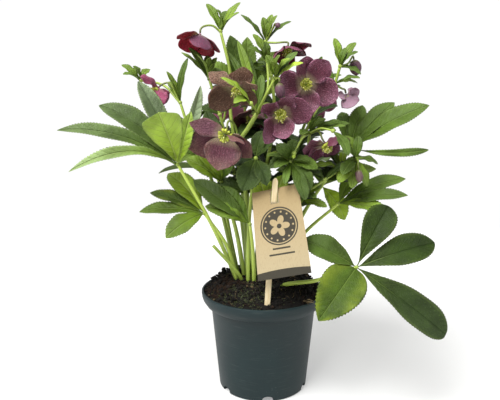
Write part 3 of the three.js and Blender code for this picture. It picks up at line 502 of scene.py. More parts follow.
# Each row: where the petiole starts, bends and ends, the side the blades face, their ages, and each
# leaflet's tip and width, with its bow and its roll where they aren't the usual ones.
LEAVES = {
    "leaf_left_upper": dict(
        foot=(-24, -10), way=[(-54, -32, 190)], hub=(-89, -40, 258), up=(0.15, -0.75, 0.65), age=0.75,
        # The pale shares of these leaflets are wax bloom and painted sheen.
        ages=[0.78, 0.45, 0.84, 0.78, 0.2, 0.3, 0.45], pale=[0.14, 0.28, 0.09, 0.24, 0.1, 0.1, 0.95],
        fold=0.42,
        leaflets=[(-204, -60, 294, 15.5, 20), (-187, -84, 256, 12, 27), (-170, -30, 318, 25, 16),
            (-133, -10, 343, 20), (-99, -90, 312, 36, 5, -55), (-72, -61, 312, 16),
            (-66, -22, 338, 13, 4, 40)],
        wide={4: (1.3, 0.1, 0.6)},
    ),
    "leaf_left_lower": dict(
        foot=(-26, -14), way=[(-40, -26, 168)], hub=(-63, -35, 206), up=(0.1, -0.6, 0.8),
        ages=[0.4, 0.55, 0.56, 0.2],
        leaflets=[(-130, -42, 209, 16), (-122, -22, 226, 16), (-100, -62, 186, 23), (-104, -8, 245, 26)],
    ),
    "leaf_left_centre": dict(
        foot=(-10, -22), way=[(-12, -31, 165)], hub=(-15, -42, 196), up=(0.2, -0.8, 0.6),
        ages=[0.66, 0.5, 0.45], leaflets=[(-75, -24, 240, 23), (-62, -36, 214, 17), (-48, -16, 232, 18)],
    ),
    "leaf_front_dark": dict(
        foot=(-17, -21), way=[(-16, -26, 195)], hub=(-9, -33, 264), up=(0.1, -0.9, 0.2), age=0.95,
        leaflets=[(-23, -54, 233, 26), (-38, -32, 262, 16), (2, -52, 238, 16)],
    ),
    "leaf_front_light": dict(
        foot=(-3, -22), way=[(0, -24, 165)], hub=(3, -28, 205), up=(0.1, -1, 0.3), age=0.2,
        leaflets=[(-7, -30, 249, 22), (20, -28, 246, 20), (36, -32, 208, 18)],
    ),
    "leaf_front_centre": dict(
        foot=(4, -19), way=[(14, -22, 195)], hub=(27, -30, 260), up=(0, -0.8, 0.6), age=0.6,
        leaflets=[(46, -46, 231, 20), (4, -42, 255, 13), (12, -30, 278, 14), (31, -26, 283, 13),
            (55, -40, 254, 14)],
    ),
    "leaf_right_lower": dict(
        foot=(0, -27), way=[(22, -34, 127), (56, -50, 138)], hub=(94, -60, 155), up=(0.1, -0.75, 0.65),
        age=0.8, ages=[0.88, 0.86, 0.92, 0.74, 0.66], pale=[0.03, 0.0, 0.0, 0.02, 0.0],
        leaflets=[(184, -75, 88, 36), (176, -50, 178, 32), (129, -40, 215, 32), (40, -44, 180, 28),
            (52, -92, 110, 45)],
        wide={0: (1.15, 0.5, 0.6), 1: (1.25, 0.7, 0.6), 2: SPATULATE, 4: (0.5, 0.8, 0.6)},
    ),
    "leaf_right_middle": dict(
        foot=(9, -10), way=[(42, -2, 172)], hub=(85, 8, 209), up=(-0.1, -0.6, 0.8),
        ages=[0.55, 0.5, 0.4, 0.55],
        leaflets=[(157, 0, 238, 20), (154, -22, 223, 17), (133, -32, 205, 17), (112, 12, 250, 20)],
    ),
    "leaf_right_upper": dict(
        foot=(11, 0), way=[(48, 12, 200)], hub=(98, 18, 270), up=(-0.2, -0.7, 0.7), age=0.62,
        leaflets=[(176, -8, 318, 27), (146, 20, 321, 24), (114, 38, 318, 18), (176, -14, 271, 8, 15, 50),
            (92, 50, 310, 16)],
        wide={3: SPATULATE},
    ),
    "leaf_right_back": dict(
        foot=(10, 5), way=[(38, 20, 180)], hub=(68, 30, 226), up=(-0.2, -0.5, 0.85), ages=[0.2, 0.4],
        leaflets=[(94, 16, 188, 22), (134, 44, 244, 24), (112, 74, 240, 24), (80, 88, 232, 24)],
    ),
    "leaf_back_right": dict(
        foot=(7, 11), way=[(24, 34, 180)], hub=(44, 62, 238), up=(0, 0.3, 0.95),
        leaflets=[(108, 88, 258, 30), (88, 128, 244, 32), (52, 142, 232, 30), (16, 124, 250, 28)],
    ),
    "leaf_back_middle": dict(
        foot=(-6, 17), way=[(-6, 44, 160)], hub=(-8, 74, 188), up=(0, 0.4, 0.9),
        leaflets=[(50, 112, 184, 32), (24, 150, 176, 34), (-20, 156, 180, 34), (-58, 122, 190, 32)],
    ),
    "leaf_back_left": dict(
        foot=(-21, 12), way=[(-34, 36, 180)], hub=(-58, 58, 240), up=(0, 0.3, 0.95),
        leaflets=[(-66, 136, 240, 30), (-106, 120, 256, 32), (-132, 82, 262, 30), (-124, 48, 238, 24)],
    ),
    "leaf_left_back": dict(
        foot=(-26, 7), way=[(-40, 20, 180)], hub=(-54, 28, 270), up=(0.2, -0.5, 0.85),
        leaflets=[(-114, 24, 302, 22), (-100, 48, 276, 22), (-98, 30, 252, 20), (-66, 62, 302, 22)],
    ),
    "leaf_left_middle": dict(
        foot=(-19, -2), way=[(-30, -7, 180)], hub=(-46, -10, 236), up=(0.1, -0.7, 0.7),
        leaflets=[(-84, -16, 262, 20), (-60, -24, 268, 18), (-36, -12, 272, 18)],
    ),
    "leaf_top_back": dict(
        foot=(-14, 16), way=[(-18, 28, 220)], hub=(-21, 34, 322), up=(0, -0.8, 0.6),
        leaflets=[(-37, 27, 394, 22), (-18, 34, 393, 20), (-64, 34, 366, 22), (14, 44, 378, 22),
            (38, 46, 344, 20)],
    ),
}


def blade(base, tip, up, width, arch, wide, fold, thick, roll=0, step=ROW_STEP, **style):
    """A leaf blade or a sepal as one closed shell.

    Its rib runs from base to tip and bows by `arch` towards `up`. `wide` is how its half width runs:
    a power of the way from the base, a power of the way to the tip and the narrowest half.
    """
    rng = random.Random(style["seed"])
    length = np.linalg.norm(np.subtract(tip, base))
    along = np.subtract(tip, base) / length
    side = unit(np.cross(along, up))
    face = np.cross(side, along)
    side, face = turned(side, along, roll), turned(face, along, roll)
    rows = max(12, round(length / step))
    t = 1 - (1 - np.linspace(0, 1, rows + 1)[:, None]) ** TIP_EASE
    peak = wide[0] / (wide[0] + wide[1])
    tallest = peak ** wide[0] * (1 - peak) ** wide[1]
    half = width / 2 * t ** wide[0] * (1 - t) ** wide[1] / tallest
    half = np.maximum(half, np.where(t < peak, wide[2], 0.15))
    outer = np.array(style.get("across", ACROSS))
    share = np.concatenate([-outer[::-1], [0, 0, 0], outer])[None, :].repeat(rows + 1, 0)
    middle = len(outer) + 1
    groove = np.minimum(GROOVE["half"] / half[:, 0], 0.5 * outer[0])
    share[:, middle - 1], share[:, middle + 1] = -groove, groove
    across = share * half
    flank = np.abs(share)
    sign = np.sign(share)
    # The margin: teeth that point to the tip, and a slow wave.
    saw = (np.arange(rows + 1) % 2)[:, None] * (t > TOOTH["from"]) * np.clip((0.97 - t) / 0.1, 0, 1)
    saw = saw * np.clip(half / 4, 0, 1)
    edge = (flank == 1) * saw * style.get("teeth", 1.0)
    across = across + sign * edge * TOOTH["out"]
    ripple = style.get("ripple", 0.9)
    phase = [rng.uniform(0, 6.28), rng.uniform(0, 6.28)]
    turns = style.get("turns", 2.2) * 2 * math.pi
    wave = np.where(share < 0, np.sin(turns * t + phase[0]), np.sin(turns * 1.2 * t + phase[1]))
    wave = wave * ripple * flank ** 2 * np.sin(math.pi * np.clip(t * 1.1, 0, 1)) ** 0.7
    # Between two side veins the blade puffs up a little.
    distance = t * length
    phase_across = (distance - VEIN["lean"] * np.abs(across)) / VEIN["step"]
    room = np.clip((half - np.abs(across)) / 3, 0, 1) * np.clip(np.abs(across) / 2, 0, 1)
    puff = style.get("puff", VEIN["puff"]) * np.sin(math.pi * phase_across) ** 2 * room
    furrow = style.get("furrow", 0) * np.cos(math.pi * 6 * share) * np.sin(math.pi * t)
    lift = fold * half * flank ** 1.4 + wave + puff + furrow
    sink = GROOVE["deep"] * np.where(share == 0, 1, 0) * style.get("rib", 1) * (1 - t) ** 0.5
    bow = 4 * arch * t * (1 - t)
    sway = style.get("sway", 0.02) * length * np.sin(math.pi * t) * rng.uniform(-1, 1)
    body = np.asarray(base, float) + (along * length) * t[..., None] + face * bow[..., None]
    body = body + side * (across + sway)[..., None] + face * (lift - sink)[..., None]
    body = body + along * (edge * TOOTH["forward"])[..., None]
    depth = thick * (1 - 0.75 * flank ** 2) + GROOVE["rib"] * (share == 0) * style.get("rib", 1) * (1 - t)
    under = body - face * depth[..., None]
    # The two skins share their margins, so the blade is one closed shell.
    count = body.shape[1]
    top = np.arange((rows + 1) * count).reshape(rows + 1, count)
    low = top.copy()
    low[1:-1, 1:-1] = (rows + 1) * count + np.arange((rows - 1) * (count - 2)).reshape(rows - 1, count - 2)
    points = np.concatenate([body.reshape(-1, 3), under[1:-1, 1:-1].reshape(-1, 3)])
    faces = []
    for grid, order in ((top, (0, 1, 2, 3)), (low, (3, 2, 1, 0))):
        corners = [grid[:-1, :-1], grid[:-1, 1:], grid[1:, 1:], grid[1:, :-1]]
        faces += np.stack([corners[k].ravel() for k in order], 1).tolist()
    form = np.stack([across, distance.repeat(count, 1), share], 2)
    tone = np.clip(style["tone"] + 0.12 * rng.uniform(-1, 1), 0, 1)
    face_side = np.ones((rows + 1, count))
    face_side[:, [0, -1]] = 0.5
    whole = np.ones((rows + 1, count))
    look = np.stack([whole * tone, whole * style["pale"], t.repeat(count, 1), face_side], 2)
    form = np.concatenate([form.reshape(-1, 3), form[1:-1, 1:-1].reshape(-1, 3)])
    back = look[1:-1, 1:-1].copy()
    back[..., 3] = 0
    look = np.concatenate([look.reshape(-1, 4), back.reshape(-1, 4)])
    return chunk(points, faces, form, look)


def ball(centre, radius, tone=0.5, finish_number=0):
    """A small round swelling."""
    profile = [(radius * math.sin(a), -radius * math.cos(a)) for a in np.linspace(0, math.pi, 7)]
    points, faces = lathe([(0, -radius), *profile[1:-1], (0, radius)], 10)
    return chunk(points + centre, faces, look=[(tone, 0, 0.9, 1)] * len(points), finish_number=finish_number)


def start_of(hub, tip, out):
    """A place a little way out of a hub towards a tip."""
    return np.array(hub, float) + unit(np.subtract(tip, hub)) * out


def leaf(foot, way, hub, up, leaflets, age=0.5, ages=(), pale=(), wide=(), fold=LEAFLET["fold"]):
    """A basal leaf as chunks: petiole, hub and leaflets."""
    chunks = [
        stalk(
            [(*foot, CROWN_DEEP), *way, hub], PETIOLE["radii"], PETIOLE["steps"], 10, PETIOLE["tones"],
            STALK_RIDGES, 1,
        ),
        ball(hub, PETIOLE["hub"], 0.5, 1),
    ]
    for i, (x, y, z, width, *more) in enumerate(leaflets):
        arch, roll = (*more, *(LEAFLET["arch"], 0)[len(more):])
        start = start_of(hub, (x, y, z), LEAFLET["start"])
        chunks.append(blade(
            start, (x, y, z), up, width, arch, wide[i] if i in wide else LEAFLET["wide"], fold,
            LEAFLET["thick"], roll, tone=ages[i] if i < len(ages) else age,
            pale=pale[i] if i < len(pale) else LEAFLET["pale"], seed=x + i,
        ))
    return chunks


def leaf_finish():
    """A living leaf: waxy and leathery, lime while young and blue-green when old, paler below."""
    material, node = finish("hellebore leaf, waxy")
    _, across, along, share = form_of(node)
    age, pale, way, side = look_of(node)
    place = node("TexCoord").outputs["Object"]
    # Side veins run forward from the midrib, and a net with 2 mm meshes fills the space between.
    out = node("Math ABSOLUTE", across)
    forward = node("Math MULTIPLY", out, VEIN["lean"])
    line = node("Math SUBTRACT", along, forward)
    off_vein = node("Math PINGPONG", line, VEIN["step"] / 2)
    side_vein = node("MapRange SMOOTHSTEP", off_vein, 0.15, 0.95, 0.45, 0)
    midrib = node("MapRange SMOOTHSTEP", out, 0.3, 1, 1, 0)
    veins = node("Math MAXIMUM", side_vein, midrib)
    meshes = node("TexVoronoi", place, Scale=480, feature="DISTANCE_TO_EDGE")
    net = node("MapRange SMOOTHSTEP", meshes, 0.02, 0.2, 0.4, 0)
    grown = node("MapRange", age, 0.35, 0.7, 0.12)
    net = node("Math MULTIPLY", net, grown)
    young = node("MapRange", age, 0, 0.5)
    old = node("MapRange", age, 0.5)
    first = node("MixRGB", young, "#9DB92C", "#42590F")
    second = node("MixRGB", old, first, "#19260C")
    drift = node("TexNoise", place, Scale=45, Detail=3)
    shade = node("MapRange", drift, 0.3, 0.7, 0.6, 1.4)
    mottled = node("VectorMath SCALE", second, Scale=shade.outputs[0])
    # Wax bloom and a painted sheen lie thickest towards the tip, in patches.
    outer = node("MapRange", way, 0.2, 1, 0.1, 2.2)
    patch = node("MapRange", drift, 0.35, 0.6, 0.5)
    thick = node("Math MULTIPLY", outer, patch)
    wax_and_sheen = node("Math MULTIPLY", pale, thick, use_clamp=True)
    waxed_and_sheened = node("MixRGB", wax_and_sheen, mottled, "#8A9A78")
    margin = node("Math ABSOLUTE", share)
    # A leaf past its best yellows from the margin inwards, in blotches.
    wide_rim = node("MapRange", margin, 0.35)
    blotch = node("MapRange", drift, 0.38, 0.58, 0, 0.8)
    past = node("Math COMPARE", age, *PAST_BEST)
    yellow = node("Math MULTIPLY", wide_rim, blotch)
    yellow = node("Math MULTIPLY", yellow, past)
    waxed_and_sheened = node("MixRGB", yellow, waxed_and_sheened, "#6E7A1C")
    rim = node("MapRange", margin, 0.8, 1, 0, 0.35)
    # Where a blade is pale its rim turns paler too: wax bloom and painted sheen.
    frost_and_sheen = node("Math MULTIPLY", pale, 3, use_clamp=True)
    border = node("MixRGB", frost_and_sheen, "#56662A", "#A3B480")
    rimmed = node("MixRGB", rim, waxed_and_sheened, border)
    lines = node("Math MAXIMUM", veins, net)
    strength = node("Math MULTIPLY", lines, 0.42)
    # Young veins are paler than the blade. On an old blade they are sunken, and painted near black as the
    # shade in them, and only the foot of the midrib stays pale.
    aged = node("MapRange", age, 0.6, 0.85)
    beyond = node("MapRange", way, 0.15, 0.5)
    sunken_shade = node("Math MULTIPLY", aged, beyond)
    fair = node("MixRGB", young, "#D2E088", "#66793A")
    ink = node("MixRGB", sunken_shade, fair, "#162409")
    veined = node("MixRGB", strength, rimmed, ink)
    below = node("MapRange", side, 0.2, 0.4, 0.5, 0)
    whole = node("MixRGB", below, veined, "#5A7032")
    rough = node("MapRange", drift, 0, 1, 0.38, 0.56)
    bump = node("Bump", Strength=0.85, Distance=0.0009, Height=lines, invert=True)
    return coat(material, Base_Color=whole, IOR=1.45, Specular_IOR_Level=0.17, Roughness=rough, Normal=bump)


def stalk_finish():
    """Stalk skin: pale juicy green with fine lengthwise streaks, flushed maroon where it is young."""
    material, node = finish("hellebore stalk, fresh")
    form, *_ = form_of(node)
    tone, *_ = look_of(node)
    thin = node("Mapping", form, Scale=(3, 0.05, 0))
    streak = node("TexNoise", thin, Scale=1, Detail=3)
    green = node("MixRGB", streak, "#6A7E2A", "#94A64C")
    bright = node("MapRange", tone, 0.5)
    fresh = node("MixRGB", bright, green, "#B2C656")
    shaded = node("MapRange", tone, 0, 0.4, 0.9, 0)
    flushed = node("MixRGB", shaded, fresh, "#2C141B")
    bump = node("Bump", Strength=0.3, Distance=0.0004, Height=streak)
    return coat(
        material, Base_Color=flushed, Roughness=0.42, IOR=1.42, Subsurface_Weight=0.15,
        Subsurface_Radius=(0.8, 1, 0.3), Subsurface_Scale=0.0015, Normal=bump,
    )


leaf_skin, stalk_skin = leaf_finish(), stalk_finish()
for name, row in LEAVES.items():
    make_piece(name + "_living", leaf(**row), [leaf_skin, stalk_skin], stands_for=[name])
stub = stalk(STUB["knots"], STUB["radii"], 16, 10, (0.45, 0.5), STALK_RIDGES)
make_piece("stalk_stub", [stub], [stalk_skin])

# ---- Flowering stems -------------------------------------------------------------------------
# A flowering stem is thicker and paler than a petiole. At each node it carries a tuft of bracts,
# small soft leaves of a fresher green, and thin pedicels that darken to maroon behind the blooms.
BRACT = {
    "wide": (0.9, 0.62, 0.6), "fold": 0.2, "arch": 3, "width": 9.5, "thick": 0.45, "start": 1.3,
    "up": (0, -0.5, 0.85), "tone": 0.5, "pale": 0.05, "step": 1.3,
}
BRACT_ACROSS = [0.25, 0.5, 0.78, 1.0]
BRANCH_RADII = (1.8, 1.4, 1.2)
PEDICEL = {"radii": (1.3, 1.1, 1.0), "straight": 4, "seat": 0.45}
NODE_SWELLING = 2.5
SEPAL_KNOB = 2.2
# Each row: where a bloom sits and faces, each sepal's tip and width with its roll where that isn't the
# usual one (or a rule for all five), and what sets the bloom apart.
BLOOMS = {
    "bloom_top_left": dict(
        centre=(-67, -10, 390), facing=(-0.12, -0.2, -0.97), tint="crimson", ring=0.5, shape=(0.8, 0.5, 0.9),
        ripple=0.6,
        tips=[(-65, -28, 375, 25, -8), (-89, -24, 387, 19), (-87, 2, 376, 25), (-63, 12, 370, 26),
            (-47, 0, 373, 17)],
    ),
    "bloom_top_right": dict(
        centre=(25, 0, 378), facing=(-0.1, -0.4, -0.91), tint="mauve", ring=0.8,
        tips=[(7, -15, 363, 23), (48, -16, 380, 22), (41, 22, 371, 24), (22, 24, 361, 25),
            (36, -22, 373, 20)],
    ),
    "bloom_right": dict(
        centre=(42, -30, 339), facing=(0, -1, 0.05),
        tips=[(41, -43, 366, 21), (63, -44, 361, 25), (74, -35, 325, 30), (45, -39, 309, 27),
            (13, -38, 338, 30)],
    ),
    "bloom_centre": dict(
        centre=(15, -50, 310), facing=(0, -0.97, -0.22),
        tips=[(45, -66, 314, 31), (20, -63, 286, 25), (-1, -67, 282, 22, -30), (-3, -66, 318, 18, -20),
            (24, -67, 326, 20)],
    ),
    "bloom_left_low": dict(
        centre=(-39, -60, 290), facing=(-0.15, -0.9, -0.4), tint="smoky", stamens=5, ring=1.3,
        dust_and_light=(0.7, 0.1, 0.25, 0.1, 0.7), shape=(0.8, 0.9, 0.9),
        tips=[(-73, -74, 302, 19, 8), (-76, -58, 276, 34), (-47, -64, 255, 38, 4), (-13, -58, 267, 27),
            (-20, -72, 281, 17, 70)],
    ),
    "bloom_left_high": dict(
        # The high dust shares on its two upper sepals are painted light, where light falls on them from
        # above.
        centre=(-28, -40, 335), facing=(0, -0.65, -0.76), tint="tan", dust_and_light=(1, 0.4, 0.5, 0.1, 0.1),
        shape=(0.9, 0.85, 0.9),
        tips=[(-56, -47, 350, 27, -12), (-21, -55, 355, 26, 12), (-8, -55, 337, 20), (-11, -27, 317, 25),
            (-56, -29, 315, 31)],
    ),
    "bloom_far_left": dict(
        centre=(-116, 15, 337), facing=(-0.75, -0.2, -0.63), tint="rose", up=(-0.2, 0.9, -0.4),
        tips=[(-131, -6, 348, 12), (-117, -3, 317, 24), (-110, 30, 320, 17), (-128, 29, 325, 16),
            (-106, 6, 322, 12)],
    ),
    "bloom_far_right": dict(
        centre=(92, 20, 329), facing=(0.25, -0.1, -0.95), tint="pink", up=(0.1, 0.95, -0.2),
        dust_and_light=(0.9,) * 5,
        tips=[(96, 2, 316, 21), (105, 12, 334, 11), (105, 32, 331, 14), (82, 8, 327, 12), (98, 37, 318, 14)],
    ),
    "bloom_right_low": dict(
        centre=(63, -30, 279), facing=(0.45, -0.45, -0.75),
        tips=[(39, -39, 273, 25), (76, -44, 284, 15, 50), (46, -20, 257, 23), (74, -9, 264, 23),
            (90, -19, 280, 22)],
    ),
    # The bloom behind takes the darker smoky tint as painted shade, for it sits deep in the plant.
    "bloom_behind": dict(
        centre=(-14, 14, 306), facing=(0, -0.5, -0.85), length=24, open=66, spin=0, tint="smoky",
    ),
    "bloom_back_left": dict(centre=(-38, 74, 322), facing=(-0.3, 0.9, -0.3), length=28, open=74, spin=10),
    "bloom_back_middle": dict(centre=(8, 84, 308), facing=(0.1, 0.9, -0.4), length=32, open=72, spin=50),
    "bloom_back_right": dict(centre=(64, 70, 324), facing=(0.5, 0.8, -0.35), length=26, open=68, spin=25),
}
BUDS = {
    "bud_right": dict(centre=(97, 8, 366), facing=(0.2, -0.2, -1), length=17, radius=6.5),
    "bud_centre": dict(centre=(14, -47, 340), facing=(0.1, 0, -1), length=16, radius=5),
    "bud_top": dict(centre=(13, -4, 401), facing=(0.3, -0.8, -0.3), length=6, radius=2.8),
    "bud_withered": dict(centre=(98, -32, 252), facing=(0.1, -0.2, -1), length=14, radius=4),
}
# Each row: where the stem starts and bends, its branches, its tufts as a node and the tips, widths and
# bows of their lobes, and its pedicels as what they carry, where they start and what they run over.
STEMS = {
    "stem_top_left": dict(
        foot=(-16, -8), way=[(-24, -2, 230), (-36, 0, 310), (-36, 0, 350), (-46, 0, 395)],
        tufts=[((-46, 0, 395),
            [(-61, 8, 424), (-49, -12, 415, 12), (-25, 0, 424), (-26, -12, 412), (-40, 16, 418)])],
        pedicels=[("bloom_top_left", (-46, 0, 394), [(-54, -3, 400), (-63, -7, 399)])],
    ),
    "stem_centre": dict(
        foot=(-8, -12), way=[(-20, -12, 225), (-26, -13, 279), (-17, -14, 294), (-8, -15, 309)], thin=2.4,
        branches=[[(-8, -15, 309), (-3, -12, 319), (4, -6, 338), (3, 0, 365)],
            [(-8, -15, 309), (0, -34, 326), (10, -42, 345)]],
        tufts=[((3, 0, 365), [(-12, 0, 392, 10), (-17, -8, 377, 11), (1, -5, 384, 8)]),
            ((10, -42, 345), [(1, -42, 367, 11), (14, -54, 366, 12), (32, -42, 370, 10)]),
            ((-8, -15, 309), [(-28, -2, 385, 10, 6), (-38, 8, 374, 9, 5), (-16, 8, 370, 8)])],
        pedicels=[("bloom_centre", (-8, -15, 309), [(2, -28, 320)]), ("bud_centre", (10, -42, 344)),
            ("bloom_left_low", (-26, -13, 276), [(-31, -26, 298), (-37, -46, 302)])],
    ),
    "stem_top": dict(
        foot=(-10, 7), way=[(0, 12, 230), (12, 14, 310), (2, 15, 386)],
        tufts=[((2, 15, 386),
            [(-1, 12, 411, 9), (9, 20, 415, 8), (29, 8, 406, 9), (-25, 15, 414, 7), (14, 6, 412, 8)])],
        pedicels=[("bloom_top_right", (2, 15, 385), [(12, 8, 384)]),
            ("bud_top", (2, 15, 386), [(10, 4, 400)]), ("bloom_behind", (10, 13, 288), [(-2, 20, 312)])],
    ),
    "stem_right": dict(
        foot=(1, 3), way=[(20, 8, 230), (52, 8, 300), (76, 4, 340), (81, 0, 359)],
        tufts=[((81, 0, 359), [(74, 0, 388), (98, 5, 384), (98, -10, 373), (102, -8, 350), (86, -2, 378, 7)]),
            ((77, 4, 342), [(100, -14, 346, 9), (103, 14, 342, 9), (58, 20, 366, 10)])],
        pedicels=[("bud_right", (81, 0, 359), [(90, 4, 362)]),
            ("bloom_far_right", (77, 4, 340), [(86, 14, 336)]),
            ("bloom_right", (52, 8, 300), [(48, -4, 328), (43, -16, 338)])],
    ),
    "stem_left": dict(
        foot=(-16, 4), way=[(-30, 8, 230), (-46, 8, 300), (-59, 5, 346)],
        tufts=[((-59, 5, 346),
            [(-80, 0, 378, 10), (-61, 10, 371), (-50, 0, 368, 9), (-89, 8, 374, 6), (-46, 14, 356)])],
        pedicels=[("bloom_left_high", (-44, 8, 300), [(-36, -8, 335), (-29, -28, 344)])],
    ),
    "stem_far_left": dict(
        foot=(-27, 1), way=[(-54, 6, 225), (-82, 12, 290), (-92, 14, 321)],
        branches=[[(-92, 14, 321), (-112, 26, 340), (-136, 22, 345)]],
        tufts=[((-136, 22, 345), [(-157, 22, 362), (-143, 14, 360), (-153, 9, 351), (-128, 32, 358)]),
            ((-92, 14, 321), [(-82, 8, 368, 8, 6), (-105, 6, 354, 7), (-106, 26, 344, 9)])],
        pedicels=[("bloom_far_left", (-92, 14, 320), [(-104, 16, 342)])],
    ),
    "stem_right_low": dict(
        foot=(2, -4), way=[(24, -6, 190), (44, -8, 250), (49, -12, 289)],
        tufts=[((49, -12, 289),
            [(65, -15, 304, 11), (91, -12, 299, 11), (37, -25, 288, 10), (74, -30, 292, 10)])],
        pedicels=[("bloom_right_low", (49, -12, 288), [(57, -22, 291)])],
    ),
    "stem_right_bract": dict(
        foot=(3, -10), way=[(28, -16, 190), (46, -18, 224), (71, -20, 244), (97, -20, 262)], thick=2.2,
        thin=1.4,
        tufts=[((97, -20, 262),
            [(71, -55, 284, 12), (109, -24, 233, 12), (122, -16, 256, 11), (100, -18, 286, 10)])],
        pedicels=[("bud_withered", (97, -20, 261), [(98, -29, 261)], 0.8)],
    ),
    "stem_back": dict(
        foot=(0, 14), way=[(-4, 42, 230), (-12, 58, 300), (-10, 60, 345)],
        tufts=[((-10, 58, 345), [(-30, 70, 372), (0, 80, 374), (12, 56, 372), (-14, 88, 360)])],
        pedicels=[("bloom_back_left", (-11, 60, 318), [(-20, 58, 335), (-32, 60, 331)]),
            ("bloom_back_middle", (-12, 59, 306), [(0, 70, 320)])],
    ),
    "stem_back_right": dict(
        foot=(-4, 7), way=[(24, 32, 230), (50, 44, 300), (62, 48, 340)],
        tufts=[((62, 48, 340), [(78, 60, 366), (50, 62, 366), (90, 44, 352), (66, 34, 372)])],
        pedicels=[("bloom_back_right", (61, 47, 335), [(62, 58, 338)])],
    ),
}


def tuft(hub, lobes, tone=BRACT["tone"]):
    """A node of a stem with its bracts, each split into narrow lobes."""
    chunks = [ball(hub, NODE_SWELLING * 0.92, 0.55, 1)]
    for i, lobe in enumerate(lobes):
        x, y, z, width, arch = (*lobe, *(BRACT["width"], BRACT["arch"])[len(lobe) - 3:])
        chunks.append(blade(
            start_of(hub, (x, y, z), BRACT["start"]), (x, y, z), BRACT["up"], width, arch, BRACT["wide"],
            BRACT["fold"], BRACT["thick"], tone=tone, pale=BRACT["pale"], seed=x + i,
            across=BRACT_ACROSS, ripple=0.8, puff=0.3, step=BRACT["step"], teeth=0.3,
        ))
    return chunks


def pedicel(carries, start, over=(), thin=PEDICEL["radii"][-1]):
    """The thin stalk from a node to just behind a bloom or a bud."""
    carried = BLOOMS.get(carries) or BUDS[carries]
    axis = unit(carried["facing"])
    knob = SEPAL_KNOB / np.abs(axis).sum() if carries in BLOOMS else 0
    end = np.array(carried["centre"]) - axis * (knob + PEDICEL["seat"])
    knots = [start, *over, end - axis * PEDICEL["straight"], end]
    return stalk(knots, (*PEDICEL["radii"][:-1], thin), 18, 8, (0.6, 0.05), 0, 1)


def flowering_stem(foot, way, tufts, pedicels, branches=(), thick=2.5, thin=1.5):
    """A flowering stem as chunks: axis, branches, tufts and pedicels."""
    chunks = [stalk([(*foot, CROWN_DEEP), *way], (thick, thin), 60, 12, (0.45, 0.6), STALK_RIDGES, 1)]
    chunks += [stalk(branch, BRANCH_RADII, 20, 10, (0.62, 0.66), 0.04, 1) for branch in branches]
    for hub, lobes in tufts:
        chunks += tuft(hub, lobes)
    return chunks + [pedicel(*one) for one in pedicels]


skins = [leaf_skin, stalk_skin]
for name, row in STEMS.items():
    make_piece(name + "_living", flowering_stem(**row), skins, stands_for=[name])

# The smaller leafy nodes between the blooms. Each row is a stem, how far along it the node sits and
# what it carries: the count, reach and width of its lobes, their age, the first one's bearing and
# the arc that they fill. A bearing of 0 is to the right and 90 is to the back.
# Most of these lobes have high ages, which darken them to the oldest green as painted shade for the deep
# foliage between the blooms.
LEAFY_NODES = [
    ("stem_right", 0.62, 5, 42, 19, 0.95, 10, 180), ("stem_right", 0.74, 5, 38, 18, 1.0, -20, 220),
    ("stem_right", 0.86, 4, 30, 12, 0.7, 30, 150), ("stem_top", 0.5, 5, 40, 19, 0.9, -10, 200),
    ("stem_top", 0.62, 6, 38, 18, 1.0, -15, 230), ("stem_top", 0.74, 5, 36, 16, 0.95, 0, 200),
    ("stem_top", 0.86, 5, 30, 11, 0.7, 20, 170), ("stem_centre", 0.55, 5, 34, 17, 0.9, 20, 160),
    ("stem_centre", 0.72, 5, 34, 17, 1.0, 10, 180), ("stem_left", 0.55, 5, 38, 18, 0.9, 20, 180),
    ("stem_left", 0.7, 5, 40, 20, 1.0, 0, 200), ("stem_left", 0.83, 4, 30, 12, 0.7, 30, 150),
    ("stem_right_low", 0.5, 8, 36, 12, 0.75, -40, 240), ("stem_right_low", 0.72, 8, 34, 11, 0.85, -50, 240),
    ("stem_top_left", 0.6, 5, 36, 18, 0.95, 30, 140), ("stem_top_left", 0.78, 4, 30, 12, 0.75, 40, 110),
    ("stem_right_bract", 0.6, 8, 34, 11, 0.55, -60, 240),
    ("stem_right_bract", 0.78, 8, 36, 12, 0.8, -10, 220),
    ("stem_right_bract", 0.9, 7, 32, 10, 0.45, 10, 180), ("stem_back", 0.6, 5, 36, 16, 0.7, 20, 220),
    ("stem_top", 0.4, 6, 40, 20, 0.95, -10, 200), ("stem_centre", 0.62, 6, 30, 12, 0.95, -60, 200),
    ("stem_back_right", 0.62, 5, 36, 16, 0.7, -20, 200), ("stem_far_left", 0.72, 4, 28, 10, 0.5, 60, 200),
]
